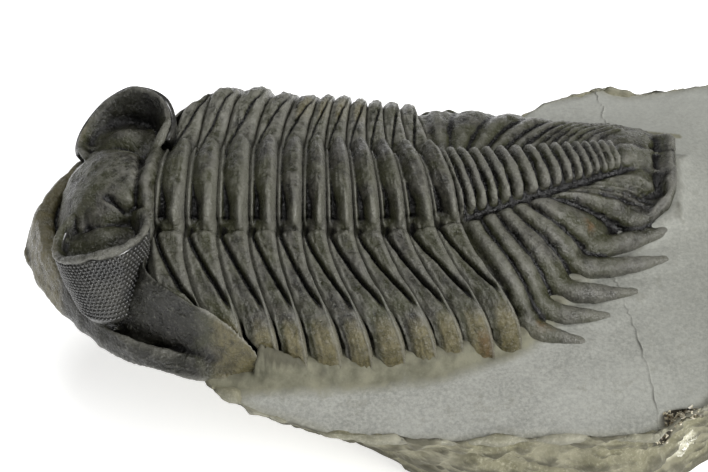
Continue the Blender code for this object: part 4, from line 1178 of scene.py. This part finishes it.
CALCITE_PLACE, CALCITE_SIZE = (54.6, -24.3, -12.0), (3.6, 3.4, 3.2)
AROUND, TOP_RINGS, SIDE_LEVELS = 640, 64, 46


def rock_corners(corners, density):
    """Points in step with the corners, but spread by the length of each side of the top."""
    top = np.array(ROCK_TOP + ROCK_TOP[:1], dtype=float)
    lengths = np.hypot(*np.diff(top, axis=0).T)
    marks = np.concatenate([[0.0], np.cumsum(lengths)])
    steps = np.interp(np.linspace(0.0, marks[-1], density, endpoint=False), marks, np.arange(len(marks)))
    closed = np.array(corners + corners[:1], dtype=float)
    line = np.stack([np.interp(steps, np.arange(len(closed)), closed[:, k]) for k in (0, 1)], axis=-1)
    for _ in range(3):
        line = 0.25 * np.roll(line, 1, axis=0) + 0.5 * line + 0.25 * np.roll(line, -1, axis=0)
    return line


def distance_to_line(x, y, line):
    """Shortest way in mm from points to a line of straight pieces."""
    best = np.full(np.shape(x), 1e9)
    for (ax, ay), (bx, by) in zip(line[:-1], line[1:]):
        part = ((x - ax) * (bx - ax) + (y - ay) * (by - ay)) / ((bx - ax) ** 2 + (by - ay) ** 2)
        part = np.clip(part, 0.0, 1.0)
        best = np.minimum(best, np.hypot(x - ax - part * (bx - ax), y - ay - part * (by - ay)))
    return best


def body_clearance(x, y):
    """Distance outside the fossil's own outline, under 0 beneath it."""
    s, t = body_measure(x, y)
    slanted = END_SHEAR * np.clip(t, *SHEAR_REACH) * ease(45.0, 56.0, s)
    behind = s - slanted - (TAIL_FRONT + TAIL_LENGTH + 0.5)
    before_tail = np.interp(s, *np.array(HEAD_AND_THORAX).T)
    width = np.where(s < TAIL_FRONT, before_tail, tail_width(s - TAIL_FRONT - 0.5, t))
    return np.maximum(np.abs(t) - width, behind)


def top_height(x, y):
    """Height of the rock's top: level under the body, a little higher against its sides."""
    clear = np.hypot((x - 26.0) / 1.45, y - 1.0)
    dip = -0.5 + 0.35 * np.sin(0.21 * x + 0.5) + 0.3 * np.sin(0.27 * y)
    slab = np.minimum(dip * ease(25.0, 33.0, clear), 0.0)
    away = body_clearance(x, y) + 0.35 * speckle(np.stack([x, y, 0.0 * x], axis=-1), 2.4, 87)
    bank = 2.5 * (1.0 - ease(-0.6, 1.6, away)) + 0.25 * (1.0 - ease(0.0, 3.5, away))
    s, t = body_measure(x, y)
    strip = distance_to_line(s, np.abs(t), GENAL_STRIP)
    spine = 9.0
    for (root_s, root_t), (tip_s, tip_t) in zip(SPINE_ROOTS, SPINE_TIPS):
        path = ((TAIL_FRONT + root_s, -root_t), (TAIL_FRONT + tip_s, -tip_t))
        spine = np.minimum(spine, distance_to_line(s, t, path))
    bank = bank * (0.35 + 0.65 * ease(1.5, 6.5, s)) + 0.6 * (1.0 - ease(0.8, 2.8, spine))
    mound = 2.6 * np.exp(-((s - 55.5) / 8.5) ** 2 - ((t - 2.5) / 8.0) ** 2)
    skin = pleura_profile(np.abs(t), 9.9, 7.3, THORAX_HALF_WIDTH + 0.6, FULCRUM) + 0.35
    fillet = skin * (1.0 - ease(0.2, 1.1, strip)) * (t < 0.0)
    return slab + np.maximum(bank * (1.0 - 0.55 * ease(26.0, 34.0, x)), fillet) + mound


def ruggedness(x, y, z):
    """Broken-rock unevenness from a few crossed waves, the same as the CAD solid has."""
    coarse = np.sin(0.41 * x + 1.3 * z) + np.sin(0.53 * y - 0.37 * z + 1.1)
    coarse = coarse + np.sin(0.29 * (x - y) + 0.9 * z)
    fine = np.sin(1.31 * x - 0.8 * z + 0.4) * np.sin(1.17 * y + 0.7 * z)
    return 0.35 * coarse + 0.3 * fine

# %% Make the rock
def rock_rings():
    """Closed rings of points from the middle of the top, over the edge and down to the foot."""
    top, foot = rock_corners(ROCK_TOP, AROUND), rock_corners(ROCK_FOOT, AROUND)
    centre = np.array(ROCK_CENTRE)
    out = top - centre
    out = out / np.linalg.norm(out, axis=1)[:, None]
    rings, broken = [], []
    for part in np.linspace(0.3, 0.992, TOP_RINGS):
        flat = centre + (top - centre) * part
        z = top_height(flat[:, 0], flat[:, 1]) - 0.3 * ease(0.93, 1.0, part)
        rings.append(np.column_stack([flat, z]))
        broken.append(np.full(AROUND, 0.45 * float(ease(0.94, 1.0, part))))
    for k in range(SIDE_LEVELS):
        depth = (k / (SIDE_LEVELS - 1)) ** 1.15
        flat = top + (foot - top) * float(np.interp(depth, ROCK_DEPTHS, ROCK_SHARES))
        z = np.full(AROUND, -ROCK_THICKNESS * depth)
        if k == 0:
            z = top_height(flat[:, 0], flat[:, 1]) - 0.45
        rough = float(ease(0.0, 0.12, depth)) * (1.0 - 0.7 * float(ease(0.85, 1.0, depth)))
        flat = flat + out * (rough * ruggedness(flat[:, 0], flat[:, 1], z))[:, None]
        rings.append(np.column_stack([flat, z]))
        broken.append(np.full(AROUND, 0.7 + 0.3 * float(ease(0.0, 0.035, depth))))
    return np.array(rings), np.array(broken)


def wander(line):
    """A crack's line with small kinks between its measured points."""
    fine = []
    for k, ((ax, ay), (bx, by)) in enumerate(zip(line[:-1], line[1:])):
        for step in range(5):
            part = step / 5.0
            kink = 0.14 * math.sin(1.9 * (5 * k + step) ** 1.2 + 0.6 * k) if step else 0.0
            fine.append((ax + (bx - ax) * part + kink, ay + (by - ay) * part + 0.5 * kink))
    return fine + [line[-1]]


def crack_distance(x, y):
    return np.minimum(*(distance_to_line(x, y, wander(line)) for line in (CRACK, FAR_CRACK)))


def refine_near_crack(mesh):
    """Finer faces along the crack, so that it can be a real groove."""
    points = mesh_arrays(mesh)[0]
    near = (crack_distance(*flat_places(points)) < 0.7) & (points[:, 2] > ROCK_THICKNESS - 5.0)
    work = bmesh.new()
    work.from_mesh(mesh)
    work.verts.ensure_lookup_table()
    edges = [edge for edge in work.edges if near[edge.verts[0].index] and near[edge.verts[1].index]]
    bmesh.ops.subdivide_edges(work, edges=edges, cuts=3, use_grid_fill=True)
    bmesh.ops.triangulate(work, faces=[face for face in work.faces if len(face.verts) > 4])
    work.to_mesh(mesh)
    work.free()
    mesh.shade_smooth()


def rock_push(points, field, beside):
    """How far the surface moves out: craggy where it is broken, calm where it was ground."""
    bedded = points * np.array((0.7, 0.7, 1.5))
    ridged = 1.0 - np.abs(roughness_at(bedded, 6.5, 81, 4))
    coarse = 0.7 * (ridged - 0.6) + 0.7 * roughness_at(bedded, 1.9, 82, 4)
    calm = 0.12 * speckle(points, 9.0, 83) + (0.03 + 0.25 * beside) * roughness_at(points, 1.6, 84, 3)
    above = ease(0.3, 2.0, points[:, 2])
    return np.where(field > 0.0, field * coarse * above, 0.0) + (1.0 - field) * calm


def egg_distance(points, middle, size, uneven):
    """Distance from the middle of an egg-shaped place, 1 at its surface."""
    above_slab = points - np.array((*ORIGIN_SHIFT, ROCK_THICKNESS))
    return np.linalg.norm((above_slab - np.array(middle)) / np.array(size), axis=1) + uneven


def make_rock():
    rings, broken = rock_rings()
    rings = rings + np.array((*ORIGIN_SHIFT, ROCK_THICKNESS))
    piece = lofted("limestone_block", rings, {"broken": broken.reshape(-1)})
    refine_near_crack(piece.data)
    points, normals, first, second = mesh_arrays(piece.data)
    field = np.zeros(len(points))
    piece.data.attributes["broken"].data.foreach_get("value", field)
    x, y = flat_places(points)
    s, t = body_measure(x, y)
    clear = body_clearance(x, y)
    stained = 1.0 - 0.8 * ease(22.0, 50.0, s)
    push = rock_push(points, field, (1.0 - ease(0.0, 3.5, clear)) * stained)
    crack = crack_distance(x, y)
    gape = 0.6 + 0.4 * speckle(points, 2.0, 86)
    push = push - 0.22 * gape * np.exp(-(crack / 0.1) ** 2) * (1.0 - 0.5 * field)
    uneven = 0.15 * speckle(points, 1.5, 85)
    vug = 1.0 - ease(0.55, 1.05, egg_distance(points, VUG_PLACE, VUG_SIZE, uneven))
    calcite = egg_distance(points, CALCITE_PLACE, CALCITE_SIZE, 1.5 * uneven)
    calcite = 1.0 - ease(0.6, 1.0, calcite)
    trace = 0.9 * (1.0 - ease(0.2, 1.0, distance_to_line(s, t, FAR_TRACE)))
    points = points + normals * push[:, None]
    set_points(piece.data, points + vug[:, None] * np.array(VUG_DEPTH))
    for name, values in (("calcite", calcite), ("crack", gape * np.exp(-(crack / 0.12) ** 2)), ("vug", vug),
                         ("stain", np.maximum((1.0 - ease(0.0, 4.5, clear)) * stained, trace))):
        set_field(piece.data, name, values)
    return piece


rock = make_rock()
print("rock triangles:", triangles(rock))

# %% [markdown]
# ### Crystals in the vug
#
# A vug is a small hollow that mineral water lined with crystals. Here brown ones line the hollow,
# and a patch of white ones sits on the broken side below it. One Geometry Nodes tree scatters
# pointed six-sided prisms where an attribute of the rock says so, turned out along the surface and
# then tilted a little.

# %% Scatter the crystals
PRISM = {"Vertices": 6, "Side Segments": 1, "Fill Segments": 1, "Radius Top": 0.12, "Radius Bottom": 0.45,
         "Depth": 0.9}
CRYSTALS_PER_SQUARE_MM, FIELD_EDGE = 7.0, 0.45


def make_crystal_tree():
    tree, given = new_tree("crystal_lining", (
        ("Geometry", "Geometry"), ("Field", "String"), ("Density", "Float"), ("Smallest", "Float"),
        ("Largest", "Float"), ("Seed", "Int"), ("Crystal", "Material")))
    field = add(tree, "GeometryNodeInputNamedAttribute", {"data_type": "FLOAT"}, {"Name": given["Field"]})
    chosen = add(tree, "FunctionNodeCompare",
                 {"data_type": "FLOAT", "operation": "GREATER_THAN", 1: FIELD_EDGE},
                 {0: field.outputs["Attribute"]})
    points = add(tree, "GeometryNodeDistributePointsOnFaces",
                 {"Mesh": given["Geometry"], "Selection": chosen.outputs[0], "Density": given["Density"],
                  "Seed": given["Seed"]})
    prism = add(tree, "GeometryNodeMeshCone", PRISM)
    tilt = add(tree, "FunctionNodeRandomValue", {"data_type": "FLOAT_VECTOR", 0: (-0.8, -0.8, -3.0),
                                                 1: (0.8, 0.8, 3.0), "Seed": 5})
    turned = add(tree, "FunctionNodeRotateRotation", {"rotation_space": "LOCAL"},
                 {0: points.outputs["Rotation"], 1: tilt.outputs[0]})
    size = add(tree, "FunctionNodeRandomValue", {"data_type": "FLOAT", "Seed": 9},
               {2: given["Smallest"], 3: given["Largest"]})
    lining = add(tree, "GeometryNodeInstanceOnPoints",
                 {"Points": points.outputs["Points"], "Instance": prism.outputs["Mesh"],
                  "Rotation": turned.outputs[0], "Scale": size.outputs[1]})
    return finish_tree(tree, lining.outputs[0], given["Crystal"])


def scatter_crystals(name, tree, field, smallest, largest, seed):
    return add_object(name, run_tree(rock, tree, {
        "Field": field, "Density": CRYSTALS_PER_SQUARE_MM / MM ** 2, "Seed": seed,
        "Smallest": smallest * MM, "Largest": largest * MM}))


crystal_tree = make_crystal_tree()
vug_crystals = scatter_crystals("vug_crystals", crystal_tree, "vug", 0.3, 0.75, 3)
calcite_crystals = scatter_crystals("calcite_crystals", crystal_tree, "calcite", 0.25, 0.6, 4)
print("crystal triangles:", triangles(vug_crystals), triangles(calcite_crystals))

# %% [markdown]
# ## Colours and materials
#
# Colours are picked as sRGB hex values, as seen on a screen, and one function turns them linear.
# Patterns read Object coordinates, which are in metres, so a noise of so many millimetres has a
# scale of 1000 divided by that size.

# %% Material helpers
def linear(code):
    """A hex colour as linear red, green, blue and alpha."""
    values = [int(code[k:k + 2], 16) / 255.0 for k in (1, 3, 5)]
    return tuple([v / 12.92 if v <= 0.04045 else ((v + 0.055) / 1.055) ** 2.4 for v in values] + [1.0])


def new_material(name):
    material = bpy.data.materials.new(name)
    material.use_nodes = True
    return material, material.node_tree, material.node_tree.nodes["Principled BSDF"]


def layered(tree, colour, layers):
    """Lay colours over each other: each comes in as its source goes from low to high, up to a share."""
    for source, low, high, share, second in layers:
        strength = add(tree, "ShaderNodeMapRange", {
            "Value": source, "From Min": low, "From Max": high, "To Max": share})
        pair = [linear(value) if isinstance(value, str) else value for value in (colour, second)]
        colour = add(tree, "ShaderNodeMix", {
            "data_type": "RGBA", 0: strength.outputs[0], 6: pair[0], 7: pair[1]}).outputs[2]
    return colour


def pattern(tree, coordinate, grades):
    """The mottling at several sizes; each grade is a spot size in mm, a detail and a roughness."""
    return [add(tree, "ShaderNodeTexNoise", {
        "Vector": coordinate, "Scale": 1.0 / (size * MM), "Detail": detail, "Roughness": rough,
    }).outputs[0] for size, detail, rough in grades]


def stored_values(tree, names):
    """What earlier cells stored on the mesh, by name."""
    return {name: add(tree, "ShaderNodeAttribute", {"attribute_name": name}).outputs["Fac"]
            for name in names}

# %% [markdown]
# ### Fossil shell
#
# The shell is calcite, cleaned of its rock with an air-driven needle and fine abrasive and then
# waxed. To the eye that gives a dark grey skin with olive patches and small wet-looking glints
# where the wax sits. The furrows are painted black, partly dirt and partly painted shade, and the
# crests are painted lighter, partly wear and partly painted highlight. The snout and the tips keep
# a brown patina, which an attribute on each piece marks.

# %% Shell material
SHELL_MARKS = {"rust": "#5a4428", "crust": "#98978a", "pale": "#8a8980", "dark": "#1a1916"}


def make_shell():
    material, tree, shader = new_material("calcite_shell_prepared_waxed")
    coordinate = add(tree, "ShaderNodeTexCoord").outputs["Object"]
    patches, mottle, grain = pattern(tree, coordinate, ((4.5, 4.0, 0.5), (1.3, 6.0, 0.65), (0.35, 4.0, 0.5)))
    on_mesh = stored_values(tree, ("patina", "cavity", *SHELL_MARKS))
    patina, cavity = on_mesh["patina"], on_mesh["cavity"]
    uneven = add(tree, NUMBERS, {"operation": "MULTIPLY_ADD", 0: patches, 1: patina, 2: -0.32})
    edge = add(tree, NUMBERS, {"operation": "ADD", 0: patina, 1: uneven.outputs[0]}).outputs[0]
    brown = layered(tree, "#47432e", ((mottle, 0.3, 0.7, 1.0, "#6b6446"),))
    skin = layered(tree, "#141411", ((mottle, 0.35, 0.65, 1.0, "#4c4a42"),
                                     (patches, 0.4, 0.56, 0.85, "#3a3b27"), (edge, 0.15, 0.75, 1.0, brown)))
    for name, colour in SHELL_MARKS.items():
        spots = add(tree, NUMBERS, {"operation": "MULTIPLY", 0: on_mesh[name], 1: mottle})
        skin = layered(tree, skin, ((spots.outputs[0], 0.3, 0.6, 0.8, colour),))
    # the cavity layers paint hollows near black (partly dirt, partly painted shade) and crests lighter
    # (partly wear, partly painted highlight)
    skin = layered(tree, skin, ((grain, 0.58, 0.7, 0.3, "#8b8b80"), (cavity, 0.0, 0.16, 1.0, "#080706"),
                                (cavity, -0.06, -0.3, 0.5, "#84837a")))
    polish = add(tree, "ShaderNodeMapRange", {
        "Value": mottle, "From Min": 0.38, "From Max": 0.62, "To Min": 0.14, "To Max": 0.46})
    coarse = add(tree, "ShaderNodeBump", {"Strength": 0.8, "Distance": 0.22 * MM, "Height": mottle})
    fine = add(tree, "ShaderNodeBump", {"Strength": 1.0, "Distance": 0.22 * MM, "Height": grain,
                                        "Normal": coarse.outputs[0]}).outputs[0]
    give(tree, shader, {"IOR": 1.4, "Coat Weight": 0.12, "Coat Roughness": 0.12, "Base Color": skin,
                        "Roughness": polish.outputs[0], "Normal": fine, "Coat Normal": fine})
    return material

# %% [markdown]
# ### Lenses
#
# The lenses were clear calcite in life and are dark and glassy now. A clear coat over them lets
# each bead catch a small highlight of its own.

# %% Lens material
def make_lens_material():
    material, tree, shader = new_material("calcite_lenses_polished")
    coordinate = add(tree, "ShaderNodeTexCoord").outputs["Object"]
    patches, sparkle = pattern(tree, coordinate, ((3.0, 4.0, 0.5), (0.5, 2.0, 0.5)))
    cavity = stored_values(tree, ("cavity",))["cavity"]
    # the cavity layer paints the hollows between the beads darker: painted shade
    colour = layered(tree, "#282827", ((patches, 0.35, 0.65, 1.0, "#3d3c37"),
                                       (cavity, 0.0, 0.08, 1.0, "#151512")))
    polish = add(tree, "ShaderNodeMapRange", {
        "Value": sparkle, "From Min": 0.35, "From Max": 0.65, "To Min": 0.16, "To Max": 0.42})
    give(tree, shader, {"IOR": 1.6, "Coat Weight": 0.4, "Coat Roughness": 0.1, "Base Color": colour,
                        "Roughness": polish.outputs[0]})
    return material

# %% [markdown]
# ### Limestone
#
# The rock is a fine-grained limestone. Its top was ground smooth and is plain grey with faint
# scratches and olive stains near the fossil. Its sides broke by themselves and weathered to olive
# brown with pale flecks, and they are much rougher.

# %% Limestone material
def make_limestone():
    material, tree, shader = new_material("limestone_ground_and_broken")
    coordinate = add(tree, "ShaderNodeTexCoord").outputs["Object"]
    clouds, mottle, grain = pattern(tree, coordinate, ((9.0, 5.0, 0.5), (2.2, 8.0, 0.7), (0.45, 5.0, 0.7)))
    streaks = add(tree, "ShaderNodeMapping", {
        "Vector": coordinate, "Scale": (0.2, 1.6, 1.0), "Rotation": (0.0, 0.0, 0.3)})
    scratch = pattern(tree, streaks.outputs[0], ((1.6, 6.0, 0.75),))[0]
    on_mesh = stored_values(tree, ("broken", "stain", "crack", "vug", "calcite", "cavity"))
    broken, stain = on_mesh["broken"], on_mesh["stain"]
    place_on = add(tree, "ShaderNodeSeparateXYZ", {0: coordinate}).outputs
    uneven = add(tree, NUMBERS, {"operation": "MULTIPLY_ADD", 0: mottle, 1: stain, 2: -0.25})
    around = add(tree, NUMBERS, {"operation": "ADD", 0: stain, 1: uneven.outputs[0]}).outputs[0]
    olive = layered(tree, "#5d5c49", ((mottle, 0.35, 0.62, 1.0, "#807e6a"),))
    top = layered(tree, "#7f807a", (
        (clouds, 0.35, 0.65, 1.0, "#93948e"), (grain, 0.35, 0.68, 0.6, "#b9b9b0"),
        (mottle, 0.56, 0.7, 0.55, "#77766a"), (scratch, 0.6, 0.75, 0.35, "#b4b4ac"),
        (place_on["X"], 15.0 * MM, 45.0 * MM, 0.4, "#75776c"),
        (place_on["Y"], 5.0 * MM, 30.0 * MM, 0.4, "#b3b4ae"), (around, 0.05, 0.85, 0.95, olive)))
    side = layered(tree, "#7d7a61", ((grain, 0.5, 0.72, 1.0, "#a9a691"), (clouds, 0.4, 0.62, 1.0, "#8b8874")))
    # the cavity layer darkens the rock's hollows: partly dirt, partly painted shade
    stone = layered(tree, top, (
        (broken, 0.0, 1.0, 1.0, side), (on_mesh["vug"], 0.1, 0.5, 1.0, "#2e281b"),
        (on_mesh["calcite"], 0.15, 0.6, 1.0, "#c4c1ab"), (on_mesh["cavity"], 0.02, 0.25, 0.7, "#3d3a2c"),
        (on_mesh["crack"], 0.2, 0.8, 0.7, "#3a3a34")))
    deep = add(tree, "ShaderNodeMapRange", {"Value": broken, "To Min": 0.25, "To Max": 1.0})
    coarse = add(tree, "ShaderNodeBump", {"Strength": deep.outputs[0], "Distance": 0.5 * MM,
                                          "Height": mottle})
    fine = add(tree, "ShaderNodeBump", {"Strength": 0.35, "Distance": 0.1 * MM, "Height": grain,
                                        "Normal": coarse.outputs[0]})
    polish = add(tree, "ShaderNodeMapRange", {
        "Value": mottle, "From Min": 0.3, "From Max": 0.7, "To Min": 0.6, "To Max": 0.85})
    give(tree, shader, {"IOR": 1.5, "Base Color": stone, "Normal": fine.outputs[0],
                        "Roughness": polish.outputs[0]})
    return material

# %% [markdown]
# ### Crystals
#
# Both kinds are glassy. Their colour runs from pale to the iron brown of the vug or to milk white,
# and smooth flat faces give them their sparkle.

# %% Crystal materials
def make_crystal(name, dark, light):
    material, tree, shader = new_material(name)
    tint = pattern(tree, add(tree, "ShaderNodeTexCoord").outputs["Object"], ((0.9, 3.0, 0.5),))[0]
    polish = add(tree, "ShaderNodeMapRange", {
        "Value": tint, "From Min": 0.3, "From Max": 0.7, "To Min": 0.12, "To Max": 0.35})
    give(tree, shader, {"IOR": 1.6, "Base Color": layered(tree, dark, ((tint, 0.35, 0.62, 1.0, light),)),
                        "Roughness": polish.outputs[0]})
    return material

# %% Dress the pieces
SHELL_REACH, TAIL_REACH, LENS_REACH, ROCK_REACH = 36, 70, 6, 10
shell, lens, limestone = make_shell(), make_lens_material(), make_limestone()
brown_crystal = make_crystal("calcite_crystals_iron_stained", "#5a4a30", "#d3ccb4")
white_crystal = make_crystal("calcite_crystals_milky", "#bdbaa6", "#ecebe0")


def dress(piece, material, reach=0):
    """Give a piece its material; a longer reach finds wider hollows, which the materials darken as dirt and
    painted shade.
    """
    if reach:
        mark_hollows(piece, reach)
    piece.data.materials.clear()
    piece.data.materials.append(material)
    for face in piece.data.polygons:
        face.material_index = 0


for piece in segments + [head]:
    dress(piece, shell, SHELL_REACH)
dress(tail, shell, TAIL_REACH)
for piece in (near_eye, far_eye):
    dress(piece, lens, LENS_REACH)
dress(rock, limestone, ROCK_REACH)
for piece, material in ((vug_crystals, brown_crystal), (calcite_crystals, white_crystal)):
    dress(piece, material)
    piece.data.shade_flat()

# %% [markdown]
# ## Floor and light
#
# The fossil stands on a plain white floor under soft studio light: an even surround, one large
# soft light from the right of the camera that makes the glints, one from above, and a weak low one
# from the left that reaches under the snout.

# %% Floor and lights
FLOOR_SIZE, FLOOR_WHITE, FLOOR_GLOW, SURROUND_GLOW = 3.0, 0.95, 0.64, 0.14
LIGHTS = {"key": ((480.0, -360.0, 380.0), 300.0, 4.5),
          "low": ((-220.0, -560.0, 170.0), 120.0, 0.5),
          "overhead": ((-60.0, 160.0, 620.0), 300.0, 1.7)}


def make_floor():
    mesh = bpy.data.meshes.new("floor")
    corners = [(x * FLOOR_SIZE, y * FLOOR_SIZE, 0.0) for x, y in ((-1, -1), (1, -1), (1, 1), (-1, 1))]
    mesh.from_pydata(corners, [], [(0, 1, 2, 3)])
    material, tree, shader = new_material("white_paper")
    give(tree, shader, {"Base Color": (FLOOR_WHITE,) * 3 + (1.0,), "Emission Color": (1.0,) * 4,
                        "Emission Strength": FLOOR_GLOW, "Roughness": 0.9})
    mesh.materials.append(material)
    add_object("floor", mesh)


def make_light(name, place_mm, size_mm, watts):
    """A round soft light that faces the object."""
    data = bpy.data.lights.new(name, "AREA")
    data.shape = "DISK"
    data.size = size_mm * MM
    data.energy = watts
    lamp = add_object(name, data)
    aim = np.array(CAMERA_TARGET) - np.array(place_mm)
    lamp.location = np.array(place_mm) * MM
    pitch = math.atan2(math.hypot(aim[0], aim[1]), -aim[2])
    lamp.rotation_euler = (pitch, 0.0, math.atan2(aim[1], aim[0]) - 0.5 * math.pi)


def make_surround():
    world = bpy.data.worlds.new("surround")
    bpy.context.scene.world = world
    world.use_nodes = True
    give(world.node_tree, world.node_tree.nodes["Background"],
         {"Color": (1.0,) * 4, "Strength": SURROUND_GLOW})


make_floor()
make_surround()
for name, (place_mm, size_mm, watts) in LIGHTS.items():
    make_light(name, place_mm, size_mm, watts)
bpy.context.scene.view_settings.view_transform = "Standard"

# %% [markdown]
# ## Tie the pieces to the CAD model
#
# Each dressed piece stands for one CAD node, whose own solid is hidden, and rides on the same body.

# %% Ride, replace and finish
pairs = [(rock, "matrix", "limestone"), (head, "cephalon", "fossil_shell"),
         (tail, "pygidium", "fossil_shell"), (near_eye, "left_eye", "eye_lenses"),
         (far_eye, "right_eye", "eye_lenses")]
pairs += [(piece, f"thorax_segment_{k + 1:02d}", "fossil_shell") for k, piece in enumerate(segments)]
for piece, node, slot in pairs:
    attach(piece, "root")
    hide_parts(node)
for piece in (vug_crystals, calcite_crystals):
    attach(piece, "root")
finished = [piece for piece, _, _ in pairs] + [vug_crystals, calcite_crystals]
print("all triangles:", sum(triangles(piece) for piece in finished))
print("open edges:", {piece.name: open_edges(piece) for piece in finished if open_edges(piece)})
